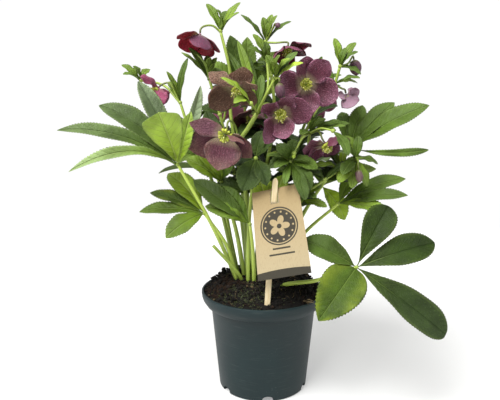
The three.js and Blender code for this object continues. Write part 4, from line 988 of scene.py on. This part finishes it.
# The nodes that a rule doesn't place: each one's place, age and lobes, and the stalk that leads to it.
LOOSE_NODES = [
    ((-14, -56, 320), 0.3, [(-43, -68, 344, 10, 4), (-31, -64, 320, 13, 5)],
        [(-8, -15, 309), (-9, -40, 313)]),
    ((-8, -15, 309), 0.6, [(25, -40, 321, 6, 2), (-2, -2, 350, 10, 4)], ()),
    ((10, -42, 345), 0.2, [(24, -52, 363, 10), (37, -50, 359, 9), (6, -60, 360, 9)], ()),
    ((49, -12, 289), 0.45, [(53, -30, 305, 6), (60, -26, 308, 6), (47, -24, 311, 5), (77, -28, 303, 7),
        (84, -30, 297, 8)], ()),
    ((68, -48, 293), 0.5, [(82, -60, 269, 12, 5)], [(49, -12, 289), (58, -36, 295)]),
    ((30, -42, 270), 0.2, [(29, -46, 265, 4, 0)], [(49, -12, 289), (38, -32, 283)]),
    ((27, -30, 260), 0.62, [(41, -56, 224, 15, 4), (2, -48, 268, 10, 4), (10, -52, 256, 12),
        (20, -56, 240, 8), (46, -44, 262, 12, 4), (34, -40, 275, 10, 3)], ()),
    ((-9, -33, 264), 0.9, [(-2, -26, 292, 16, 2), (-8, -44, 240, 14, 3), (10, -34, 284, 13, 2)], ()),
    ((-59, 5, 346), 0.3, [(-70, -16, 370, 8), (-57, -20, 366, 7), (-50, -14, 362, 7)], ()),
    ((-46, -10, 236), 0.35, [(-76, -10, 286, 22, 4)], ()),
    ((-46, -10, 236), 0.9, [(-62, 2, 312, 24, 4)], ()),
    ((97, -20, 262), 0.42, [(80, -40, 248, 14), (78, -30, 238, 15), (92, -30, 232, 12), (84, -14, 286, 15)],
        ()),
]


def leafage(stem):
    """The leafy nodes that one stem carries along its length, by rule."""
    row = STEMS[stem]
    line = smooth_line([(*row["foot"], CROWN_DEEP), *row["way"]], 60)
    chunks = []
    for number, (on, share, count, reach, width, age, first, arc) in enumerate(LEAFY_NODES):
        if on != stem:
            continue
        rng = random.Random(number)
        hub = line[round(60 * share)]
        chunks.append(ball(hub, NODE_SWELLING, 0.6, 1))
        for i in range(count):
            bearing = math.radians(first + arc * (i + rng.uniform(-0.3, 0.3)) / max(1, count - 1))
            way = (math.cos(bearing), math.sin(bearing), rng.uniform(-0.15, 0.75))
            tip = hub + unit(way) * reach * rng.uniform(0.75, 1.1)
            chunks.append(blade(
                start_of(hub, tip, BRACT["start"]), tip, (0, -0.45, 0.9), width * rng.uniform(0.8, 1.1),
                rng.uniform(3, 8), BRACT["wide"], 0.18, BRACT["thick"], rng.uniform(-25, 25),
                tone=min(1, age + rng.uniform(-0.15, 0.1)), pale=BRACT["pale"], seed=number * 7 + i,
                across=BRACT_ACROSS, ripple=0.9, puff=0.35, step=BRACT["step"],
            ))
    return chunks


for name in sorted({row[0] for row in LEAFY_NODES}):
    make_piece(name + "_leafage", leafage(name), skins)
loose = [part for hub, tone, lobes, _ in LOOSE_NODES for part in tuft(hub, lobes, tone)]
for hub, _, _, under in LOOSE_NODES:
    if under:
        loose.append(stalk([*under, hub], (1.0, 0.9), 14, 8, (0.6, 0.6), 0, 1))
make_piece("loose_bracts", loose, skins)

# ---- Sepals ----------------------------------------------------------------------------------
# A bloom is a cup of five broad sepals that lie over each other. They are thin and satin, darker
# in the heart, with fine branching veins and a paler rim, and duller green and mauve outside.
SEPAL = {
    "wide": (0.95, 0.7, 0.9), "fold": 0.2, "plump": 0.84, "start": 1.2, "bow": -0.08, "roll": 11,
    "thick": 0.5,
}
SEPAL_VARIES = {"lean": 7, "length": 0.05}
SEPAL_ACROSS = [0.14, 0.28, 0.42, 0.56, 0.7, 0.84, 1.0]
# The heart, the field, the pale rim, the veins, the outside and the dust on it, which also serves as painted
# light on sepals lit from above.
SEPAL_COLOURS = {
    "plum": ("#3E101A", "#64263A", "#A8708A", "#2E0A18", "#6A3A4A", "#AC8290"),
    "smoky": ("#40141E", "#5E2A38", "#75623E", "#260C12", "#5E4038", "#A07080"),
    "tan": ("#40261A", "#70503A", "#80644E", "#261610", "#80604C", "#DCB4A0"),
    # The crimson row is raised in brightness as painted light, for inner faces that turn down into shade.
    "crimson": ("#7A0616", "#B4122C", "#AC3048", "#44020C", "#4C384C", "#86384A"),
    "mauve": ("#480612", "#6E1224", "#803C50", "#2E040C", "#6A3C50", "#86506A"),
    "rose": ("#6A1830", "#8E3450", "#A8708A", "#4A1024", "#84405A", "#9C6A80"),
    "pink": ("#6A2038", "#9A4A68", "#B8889A", "#4A142A", "#9A7C8C", "#B092A4"),
}


def wobble(seed):
    """A repeatable number between -1 and 1."""
    wave = math.sin(seed * 12.9898 + 4.137) * 43758.5453
    return 2 * (wave - math.floor(wave)) - 1


def petal_direction(axis, degrees):
    """A direction round a bloom's axis."""
    reference = np.array((0.0, 1, 0) if abs(axis[2]) > 0.8 else (0.0, 0, 1))
    across = unit(reference - axis * np.dot(reference, axis))
    return turned(across, axis, degrees)


def sepal_tips(centre, facing, length, open, spin):
    """The tips of a bloom's five sepals, set round its axis by rule, each with its width."""
    axis = unit(facing)
    tips = []
    for i in range(5):
        out = petal_direction(axis, spin + 72 * i)
        lean = math.radians(open + SEPAL_VARIES["lean"] * wobble(spin + 3 * i))
        direction = out * math.sin(lean) + axis * math.cos(lean)
        reach = length * (1 + SEPAL_VARIES["length"] * wobble(length + i))
        tips.append((*(np.array(centre) + direction * reach), length * SEPAL["plump"]))
    return tips


def sepals(centre, facing, tips=None, length=0, open=0, spin=0, dust_and_light=(0.15,) * 5, up=None,
           shape=SEPAL["wide"], ripple=1.9, **_):
    """The five sepals of a bloom on their receptacle."""
    axis = unit(facing)
    centre = np.array(centre, float)
    chunks = [ball(centre, SEPAL_KNOB * 0.8, 0.5)]
    chunks[0]["look"][:, 3] = 0
    for i, (x, y, z, width, *more) in enumerate(tips or sepal_tips(centre, facing, length, open, spin)):
        tip = np.array((x, y, z))
        reach = np.linalg.norm(tip - centre)
        out = unit(tip - centre - axis * np.dot(tip - centre, axis))
        chunks.append(blade(
            centre + out * SEPAL["start"], tip, up or axis, width, SEPAL["bow"] * reach, shape, SEPAL["fold"],
            SEPAL["thick"], *(more or [SEPAL["roll"]]), step=1.0, tone=0.5 + 0.4 * wobble(x + 7 * i),
            seed=x + i, pale=dust_and_light[i], across=SEPAL_ACROSS, teeth=0, puff=0, rib=0.15, ripple=ripple,
            turns=1.6, furrow=0.22, sway=0.04,
        ))
    return chunks


def sepal_finish(name, heart, field, rim, vein, outside, dust):
    """Sepal skin: satin, with a fan of veins that meander and break up, freckled between them."""
    material, node = finish(f"hellebore sepal, {name}")
    form, _, _, share = form_of(node)
    tone, dust_and_light, along, side = look_of(node)
    place = node("TexCoord").outputs["Object"]
    # Fourteen veins fan out from the base and fork at a net of long meshes. A slow noise bends them.
    bend = node("TexNoise", place, Scale=190, Detail=3)
    bent = node("MapRange", bend, 0, 1, -0.16, 0.16)
    fan = node("Math ADD", share, bent)
    off_vein = node("Math PINGPONG", fan, 0.07)
    veins = node("MapRange SMOOTHSTEP", off_vein, 0, 0.05, 1, 0)
    drawn = node("Mapping", form, Scale=(1.1, 0.5, 0))
    cells = node("TexVoronoi", drawn, Scale=0.7, feature="DISTANCE_TO_EDGE")
    net = node("MapRange SMOOTHSTEP", cells, 0.02, 0.2, 0.9, 0)
    lines = node("Math MAXIMUM", veins, net)
    drift = node("TexNoise", place, Scale=70, Detail=4)
    spread = node("MapRange", drift, 0.35, 0.65, 0.4)
    tint = node("Math MULTIPLY", spread, tone)
    core = node("MapRange", along, 0.1, 0.6, 0.1)
    opened = node("Math MULTIPLY_ADD", core, tint, 0.15)
    body = node("MixRGB", opened, heart, field)
    margin = node("Math ABSOLUTE", share)
    edge = node("Math MAXIMUM", margin, along)
    fringe = node("MapRange", edge, 0.55, 1, 0, 0.85)
    freckles = node("TexNoise", place, Scale=850, Detail=2)
    freckled = node("MapRange", freckles, 0.42, 0.6, 0.3)
    pale = node("Math MULTIPLY", fringe, freckled)
    rimmed = node("MixRGB", pale, body, rim)
    # Dust on the sepals, and painted light where a bloom's row sets it high on sepals lit from above.
    dust_and_light_mask = node("Math MULTIPLY", dust_and_light, freckled)
    dusted_and_lit = node("MixRGB", dust_and_light_mask, rimmed, dust)
    ease = node("MapRange", dust_and_light, 0, 1, 0.78, 0.3)
    lined = node("Math MULTIPLY", lines, ease)
    veined = node("MixRGB", lined, dusted_and_lit, vein)
    base = node("MapRange", along, 0.12, 0.34, 0.85, 0)
    streaked = node("Math MULTIPLY_ADD", base, veins, 0.35)
    foot = node("Math MULTIPLY", base, streaked, use_clamp=True)
    based = node("MixRGB", foot, veined, "#A9A07A")
    back = node("MapRange", side, 0.2, 0.4, 0.75, 0)
    whole = node("MixRGB", back, based, outside)
    bump = node("Bump", Strength=0.4, Distance=0.0003, Height=lines, invert=True)
    return coat(
        material, Base_Color=whole, Roughness=0.5, Specular_IOR_Level=0.2, Sheen_Weight=0.06,
        Sheen_Roughness=0.4, Subsurface_Weight=0.15, Subsurface_Radius=(1, 0.4, 0.6), Subsurface_Scale=0.001,
        Normal=bump,
    )


sepal_skins = {name: sepal_finish(name, *codes) for name, codes in SEPAL_COLOURS.items()}
for name, row in BLOOMS.items():
    skin = sepal_skins[row.get("tint", "plum")]
    make_piece(name + "_cup", sepals(**row), [skin], stands_for=[name + "_sepals"])

# ---- Eyes ------------------------------------------------------------------------------------
# Inside the sepals stands a ring of small green nectaries, shaped like trumpets, then a brush of
# stamens with pale anthers, and a few styles in the middle. An old bloom has shed its stamens.
NECTARIES = {
    "count": 12, "foot": 1.5, "bend": 3.2, "mouth": 5.5, "rise": 1.9, "flare": (2.8, 4.0),
    "radii": (0.5, 1.0, 1.45, 1.2),
}
STAMENS = {"count": 40, "reach": (5.8, 9.0), "spread": 44, "radii": (0.26, 0.22, 0.2)}
ANTHER_RADII = (0.25, 0.55, 0.45, 0.2)
SHED_BELOW = 20
STYLES = {"count": 4, "reach": 9.5, "radii": (0.8, 0.55, 0.35)}
GOLDEN_ANGLE = 137.5


def eye(centre, facing, stamens=STAMENS["count"], ring=1.0, **_):
    """Nectaries, stamens and styles, as chunks."""
    rng = random.Random(centre[0] * 3 + centre[1])
    axis = unit(facing)
    centre = np.array(centre, float)
    spin = rng.uniform(0, 360)
    chunks = [ball(centre + axis * 1.2, 2.2, 0.05)]
    for i in range(NECTARIES["count"]):
        out = petal_direction(axis, spin + 360 / NECTARIES["count"] * (i + 0.25 * rng.uniform(-1, 1)))
        foot = centre + out * NECTARIES["foot"] + axis * 1.0
        bend = centre + out * NECTARIES["bend"] * ring + axis * NECTARIES["rise"]
        mouth = centre + out * NECTARIES["mouth"] * ring * rng.uniform(0.88, 1.08)
        mouth = mouth + axis * rng.uniform(*NECTARIES["flare"])
        chunks.append(stalk([foot, bend, mouth], NECTARIES["radii"], 6, 8, (0.3, rng.uniform(0.5, 0.75))))
    for i in range(stamens):
        share = math.sqrt((i + 0.5) / stamens)
        lean = math.radians(STAMENS["spread"] * share + rng.uniform(-6, 6))
        out = petal_direction(axis, GOLDEN_ANGLE * i + rng.uniform(-8, 8))
        way = out * math.sin(lean) + axis * math.cos(lean)
        reach = rng.uniform(*STAMENS["reach"]) * (1.05 - 0.25 * share)
        foot = centre + out * 1.6 * share + axis * 1.0
        droop = np.array((0, 0, -1.6)) * rng.random()
        tip = foot + way * reach + droop
        middle = foot + (way * 0.55 + axis * 0.45) * reach * 0.55 + droop * 0.2
        chunks.append(stalk([foot, middle, tip], STAMENS["radii"], 5, 4, (0.6, 0.8)))
        anther = [tip - way * 0.4, tip + way * 0.4, tip + way]
        tone = rng.uniform(0.7, 1.0)
        chunks.append(stalk(anther, ANTHER_RADII, 3, 5, (tone, tone)))
    for i in range(STYLES["count"] if stamens > SHED_BELOW else 0):
        out = petal_direction(axis, 360 / STYLES["count"] * i + 20)
        foot = centre + out * 0.6 + axis
        tip = foot + axis * STYLES["reach"] + out * 2.2
        chunks.append(stalk([foot, (foot + tip) / 2 - out * 0.4, tip], STYLES["radii"], 6, 6, (0.4, 0.3)))
    return chunks


def eye_finish():
    """Nectaries are juicy green, filaments yellow and anthers cream: the tone picks which."""
    material, node = finish("hellebore nectary and stamen")
    tone, *_ = look_of(node)
    place = node("TexCoord").outputs["Object"]
    dapple = node("TexNoise", place, Scale=500, Detail=2)
    low = node("MapRange", tone, 0, 0.35)
    high = node("MapRange", tone, 0.35, 0.7)
    last = node("MapRange", tone, 0.75)
    green = node("MixRGB", low, "#33340F", "#87962A")
    gold = node("MixRGB", high, green, "#ADB03E")
    cream = node("MixRGB", last, gold, "#DCD796")
    shade = node("MapRange", dapple, 0, 1, 0.7, 1.2)
    mottled = node("VectorMath SCALE", cream, Scale=shade.outputs[0])
    return coat(
        material, Base_Color=mottled, Roughness=0.45, Subsurface_Weight=0.2, Subsurface_Scale=0.0008,
        Subsurface_Radius=(1, 0.9, 0.4),
    )


eye_skin = eye_finish()
for name, row in BLOOMS.items():
    make_piece(name + "_stamens", eye(**row), [eye_skin], stands_for=[name + "_eye"])

# ---- Buds ------------------------------------------------------------------------------------
# A bud is an egg of five sepals wound round each other, dull plum with green at its base. The
# withered one has shrunk into wrinkles.
BUD_PROFILE = [
    (0, 0), (0.34, 0.02), (0.62, 0.09), (0.86, 0.22), (0.98, 0.38), (1, 0.5), (0.93, 0.65), (0.74, 0.8),
    (0.5, 0.9), (0.24, 0.97), (0, 1),
]
BUD_SEGMENTS = 30
BUD_WRAP = {"sepals": 5, "step": 0.09, "twist": 0.6, "wrinkles": 0.22}


def bud(name, centre, facing, length, radius):
    """The wound egg of a bud: its radius steps at each sepal's edge."""
    axis = unit(facing)
    first = petal_direction(axis, 0)
    second = np.cross(axis, first)
    points, faces = lathe([(r * radius, t * length) for r, t in BUD_PROFILE], BUD_SEGMENTS)
    withered = 1.0 if name == "bud_withered" else 0.0
    placed, look, form = [], [], []
    for x, y, z in points:
        share = z / length
        angle = math.atan2(y, x)
        wound = BUD_WRAP["sepals"] * angle / (2 * math.pi) + BUD_WRAP["twist"] * share
        step = wound - math.floor(wound)
        swell = 1 + BUD_WRAP["step"] * (step - 0.5) * math.sin(math.pi * min(1, share * 1.2 + 0.05))
        swell += withered * BUD_WRAP["wrinkles"] * noise.noise(Vector((x, y, z * 0.6)) * 0.9)
        placed.append(np.array(centre) + (first * x + second * y) * swell + axis * z)
        look.append((0.5 * withered, 0, share, 1))
        form.append((step * 5, z, 2 * step - 1))
    return chunk(placed, faces, form, look)


def bud_finish():
    """Bud skin: matt plum with dark lengthwise veins, olive at the base, browner where withered."""
    material, node = finish("hellebore bud, closed")
    form, *_ = form_of(node)
    tone, _, along, _ = look_of(node)
    place = node("TexCoord").outputs["Object"]
    thin = node("Mapping", form, Scale=(2.4, 0.12, 0))
    veins = node("TexNoise", thin, Scale=1, Detail=4)
    drawn = node("MapRange", veins, 0.35, 0.65)
    plum = node("MixRGB", drawn, "#341C28", "#644450")
    brown = node("MixRGB", tone, plum, "#65534A")
    base = node("MapRange", along, 0.02, 0.25, 0.7, 0)
    whole = node("MixRGB", base, brown, "#677034")
    grain = node("TexNoise", place, Scale=800, Detail=2)
    bump = node("Bump", Strength=0.3, Distance=0.0003, Height=grain)
    return coat(material, Base_Color=whole, Roughness=0.55, Specular_IOR_Level=0.35, Normal=bump)


bud_skin = bud_finish()
for name, row in BUDS.items():
    make_piece(name + "_closed", [bud(name, **row)], [bud_skin], stands_for=[name])

# ---- Label -----------------------------------------------------------------------------------
# A care label: a die-cut kraft card, printed in one charcoal ink, that a flat birch stick pushed
# through its slot holds up. The card bows a little. Its print is a plain flower in a ring of dots.
CARD = {
    "foot": ((-7, 143), (47, 152)), "head": ((-13, 229), (34, 239)), "depth": (-69, -66.5, -44), "thick": 0.7,
    "rows": 30, "columns": 16,
}
STICK = {
    "head": (11, -45.8, 245), "foot": (2, -61.5, 100), "wide": 6, "deep": 2, "point": 5, "sides": 16,
    "rings": 30,
}
SLOT = {"at": 0.87, "wide": 6.8, "high": 11.4, "deep": 8}
EMBLEM = {
    "up": 52.8, "disc": 19.2, "ring": 17.3, "line": 0.5, "dots": 14, "dots_at": 14.2, "dot": 0.95,
}
FLOWER = {"petals": 5, "swell": 6.2, "waist": 4.6, "heart": 2.4}
# The upper edge of the band falls by `fall` mm for each square mm of the way out.
BAND = {"high": 9.0, "fall": 1.8 / 700}
RULES = {"rows": [(30.5, 9.0), (24.5, 13.0)], "half_thick": 0.9}
INK_COVERS = 0.92


def card_point(s, across):
    """A place on the card's middle plane: s runs up from its foot, across from left to right."""
    (left, right), (top_left, top_right) = CARD["foot"], CARD["head"]
    near, bend, far = CARD["depth"]
    a = np.array(left) * (1 - s) + np.array(top_left) * s
    b = np.array(right) * (1 - s) + np.array(top_right) * s
    x, z = a * (1 - across) + b * across
    return np.array((x, near * (1 - s) ** 2 + 2 * bend * s * (1 - s) + far * s ** 2, z))


def card():
    """The card's two faces and its cut edges. `form` holds mm from its middle line and its foot."""
    rows, columns = CARD["rows"], CARD["columns"]
    points, form = [], []
    for front in (1, -1):
        for i in range(rows + 1):
            s = i / rows
            lean = unit(card_point(min(1, s + 0.01), 0.5) - card_point(max(0, s - 0.01), 0.5))
            out = np.array((0, -lean[2], lean[1])) * CARD["thick"] / 2 * front
            left, right = card_point(s, 0), card_point(s, 1)
            for k in range(columns + 1):
                share = k / columns
                points.append(card_point(s, share) + out)
                tall = np.linalg.norm(card_point(1, share) - card_point(0, share))
                form.append((np.linalg.norm(right - left) * (share - 0.5), tall * s, front))
    across = columns + 1
    sheet_points = (rows + 1) * across
    faces = []
    for i in range(rows):
        for k in range(columns):
            a = i * across + k
            quad = [a, a + 1, a + 1 + across, a + across]
            faces.append(quad)
            faces.append([corner + sheet_points for corner in quad[::-1]])
    rim = [*range(across)] + [i * across + columns for i in range(1, rows + 1)]
    rim += [rows * across + k for k in range(columns - 1, -1, -1)]
    rim += [i * across for i in range(rows - 1, 0, -1)]
    for a, b in zip(rim, rim[1:] + rim[:1]):
        faces.append([b, a, a + sheet_points, b + sheet_points])
    return chunk(points, faces, form)


def on_stick(t, x, y, z):
    """A place given in the stick's own frame: z runs along it from the share t, x across it."""
    foot, head = np.array(STICK["foot"], float), np.array(STICK["head"], float)
    along = unit(head - foot)
    across = unit(np.array((1.0, 0, 0)) - along * along[0])
    back = np.cross(along, across)
    return foot + (head - foot) * t + across * x + back * y + along * z


def stick():
    """The stick: a flat bar with eased corners and a round head."""
    length = np.linalg.norm(np.subtract(STICK["head"], STICK["foot"]))
    point = STICK["point"]
    rounding = length - point * (1 - np.sin(np.linspace(0.2, 1.55, 9)))
    heights = [*np.linspace(0, length - point, STICK["rings"]), *rounding]
    points, form = [], []
    sides = STICK["sides"]
    for z in heights:
        over = max(0, (z - (length - point)) / point)
        narrow = math.sqrt(max(0.004, 1 - over ** 2))
        for k in range(sides):
            angle = 2 * math.pi * k / sides
            cos, sin = math.cos(angle), math.sin(angle)
            x = math.copysign(abs(cos) ** 0.35, cos) * STICK["wide"] / 2 * narrow
            y = math.copysign(abs(sin) ** 0.5, sin) * STICK["deep"] / 2 * narrow ** 0.4
            points.append(on_stick(0, x, y, z))
            form.append((x, z, y))
    return chunk(points, tube_faces(len(heights), sides), form)


def kraft():
    """Kraft board: unbleached brown fibre, matt, with dark and light flecks and a charcoal print."""
    material, node = finish("kraft board, printed")
    _, x, y, face = form_of(node)
    place = node("TexCoord").outputs["Object"]
    # The board darkens towards its top: painted shade from the foliage above it.
    rise = node("MapRange", y, 10, 90)
    board = node("MixRGB", rise, "#A19374", "#887550")
    fibres = node("Mapping", place, Scale=(1, 1, 0.3))
    fleck = node("TexNoise", fibres, Scale=1100, Detail=4, Roughness=0.7)
    dark = node("MapRange", fleck, 0.52, 0.72, 0, 0.35)
    flecked = node("MixRGB", dark, board, "#69502E")
    # The print: a disc, with a ring, a circle of dots and a five-petalled flower left bare in it.
    height = node("Math SUBTRACT", y, EMBLEM["up"])
    spot = node("CombineXYZ", x, height)
    radius = node("VectorMath LENGTH", spot).outputs["Value"]
    angle = node("Math ARCTAN2", height, x)
    disc = node("Math LESS_THAN", radius, EMBLEM["disc"])
    ring = node("Math COMPARE", radius, EMBLEM["ring"], EMBLEM["line"])
    turn = node("Math PINGPONG", angle, math.pi / EMBLEM["dots"])
    sideways = node("Math MULTIPLY", turn, EMBLEM["dots_at"])
    outwards = node("Math SUBTRACT", radius, EMBLEM["dots_at"])
    off_dot = node("CombineXYZ", sideways, outwards)
    dot_way = node("VectorMath LENGTH", off_dot).outputs["Value"]
    dots = node("Math LESS_THAN", dot_way, EMBLEM["dot"])
    petal = node("Math MULTIPLY", angle, FLOWER["petals"] / 2)
    swing = node("Math COSINE", petal)
    size = node("Math ABSOLUTE", swing)
    outline = node("Math MULTIPLY_ADD", size, FLOWER["swell"], FLOWER["waist"])
    flower = node("Math LESS_THAN", radius, outline)
    hole = node("Math GREATER_THAN", radius, FLOWER["heart"])
    bare = node("Math MULTIPLY", flower, hole)
    bare = node("Math MAXIMUM", bare, dots)
    bare = node("Math MAXIMUM", bare, ring)
    emblem = node("Math SUBTRACT", disc, bare, use_clamp=True)
    # Two plain rules under it, and a band along the foot whose upper edge bows up.
    off_middle = node("Math ABSOLUTE", x)
    square = node("Math POWER", off_middle, 2)
    bowed = node("Math MULTIPLY_ADD", square, -BAND["fall"], BAND["high"])
    band = node("Math LESS_THAN", y, bowed)
    ink = node("Math MAXIMUM", emblem, band)
    for at, half_long in RULES["rows"]:
        on_line = node("Math COMPARE", y, at, RULES["half_thick"])
        short = node("Math LESS_THAN", off_middle, half_long)
        rule = node("Math MULTIPLY", on_line, short)
        ink = node("Math MAXIMUM", ink, rule)
    front = node("Math GREATER_THAN", face, 0)
    printed = node("Math MULTIPLY", ink, front)
    worn = node("Math MULTIPLY", printed, INK_COVERS)
    whole = node("MixRGB", worn, flecked, "#191A18")
    bump = node("Bump", Strength=0.2, Distance=0.0002, Height=fleck)
    return coat(material, Base_Color=whole, Roughness=0.78, Specular_IOR_Level=0.3, Normal=bump)


def birch():
    """Birch, sawn and left raw: pale, with fine straight grain along the stick."""
    material, node = finish("birch, raw")
    form, *_ = form_of(node)
    grained = node("Mapping", form, Scale=(2.2, 0.06, 2.2))
    grain = node("TexNoise", grained, Scale=1, Detail=5, Roughness=0.6)
    drawn = node("MapRange", grain, 0.35, 0.65)
    wood = node("MixRGB", drawn, "#C0B595", "#AA956B")
    bump = node("Bump", Strength=0.3, Distance=0.0003, Height=grain)
    return coat(material, Base_Color=wood, Roughness=0.62, Specular_IOR_Level=0.35, Normal=bump)


label = make_piece("care_card", [card()], [kraft()], stands_for=["label_card"])
x, y, z = SLOT["wide"] / 2, SLOT["deep"] / 2, SLOT["high"] / 2
corners, slot_faces = prism([(-x, -y), (x, -y), (x, y), (-x, y)], -z, z)
cut(label, [chunk([on_stick(SLOT["at"], *corner) for corner in corners], slot_faces)], sharp=40)
make_piece("care_stick", [stick()], [birch()], stands_for=["label_stick"], sharp=60)

# ---- Studio ----------------------------------------------------------------------------------
# A plain pale light table, matt and glowing faintly, under soft even light: a large softbox high on
# the left, a weak one on the right, a lit backdrop behind and a haze below. A long lens looks down on it.
CAMERA = {"at": (-15, -600, 320), "down": 10, "lens": 39.456}
TABLE = {"radius": 1000, "sides": 96}
SOFTBOXES = [
    ("softbox_left", (-700, -850, 1700), (0, 0, 200), 1300, 84),
    ("softbox_right", (1300, -500, 1000), (0, 0, 200), 900, 6),
]

reach = TABLE["radius"] * MM
edge = [(reach * math.cos(a), reach * math.sin(a), -0.0005) for a in around(TABLE["sides"])]
floor_mesh = bpy.data.meshes.new("floor")
floor_mesh.from_pydata(edge, [], [list(range(TABLE["sides"]))])
floor = bpy.data.objects.new("floor", floor_mesh)
bpy.context.scene.collection.objects.link(floor)
paper, node = finish("studio light table, matt")
paper_place = node("TexCoord").outputs["Object"]
paper_grain = node("TexNoise", paper_place, Scale=3, Detail=2)
paper_way = node("VectorMath LENGTH", paper_place).outputs["Value"]
paper_fade = node("MapRange SMOOTHSTEP", paper_way, 0.15, 0.7)
paper_near = node("MixRGB", paper_grain, "#ADADAB", "#B2B2B1")
paper_tint = node("MixRGB", paper_fade, paper_near, "#D2D2D1")
floor_mesh.materials.append(coat(
    paper, Base_Color=paper_tint, Roughness=0.95, Specular_IOR_Level=0, Emission_Color="#FFFFFF",
    Emission_Strength=0.35,
))

for name, place, target, size, power in SOFTBOXES:
    lamp = bpy.data.lights.new(name, "AREA")
    lamp.shape = "SQUARE"
    lamp.size = size * MM
    lamp.energy = power
    box = bpy.data.objects.new(name, lamp)
    box.location = Vector(place) * MM
    box.rotation_euler = (Vector(target) - Vector(place)).to_track_quat("-Z", "Y").to_euler()
    bpy.context.scene.collection.objects.link(box)

world = bpy.data.worlds.new("surround")
world.use_nodes = True
air = world.node_tree
node = functools.partial(add, air)
outlook = node("SeparateXYZ", node("TexCoord").outputs["Generated"])
backdrop = node("MapRange SMOOTHSTEP", outlook.outputs[1], 0.35, 0.75, 0.42, 1.02)
haze = node("MapRange SMOOTHSTEP", outlook.outputs[2], 0.02, 0.4, 1, 0.4)
sweep = node("Math MAXIMUM", backdrop, haze)
feed(air.nodes["Background"], Color="#FFFFFF", Strength=sweep)
bpy.context.scene.world = world
bpy.context.scene.view_settings.view_transform = "Standard"

camera = bpy.data.objects.new("camera", bpy.data.cameras.new("camera"))
camera.location = Vector(CAMERA["at"]) * MM
camera.rotation_euler = (math.radians(90 - CAMERA["down"]), 0, 0)
camera.data.lens = CAMERA["lens"]
camera.data.clip_end = 50
bpy.context.scene.collection.objects.link(camera)
bpy.context.scene.camera = camera
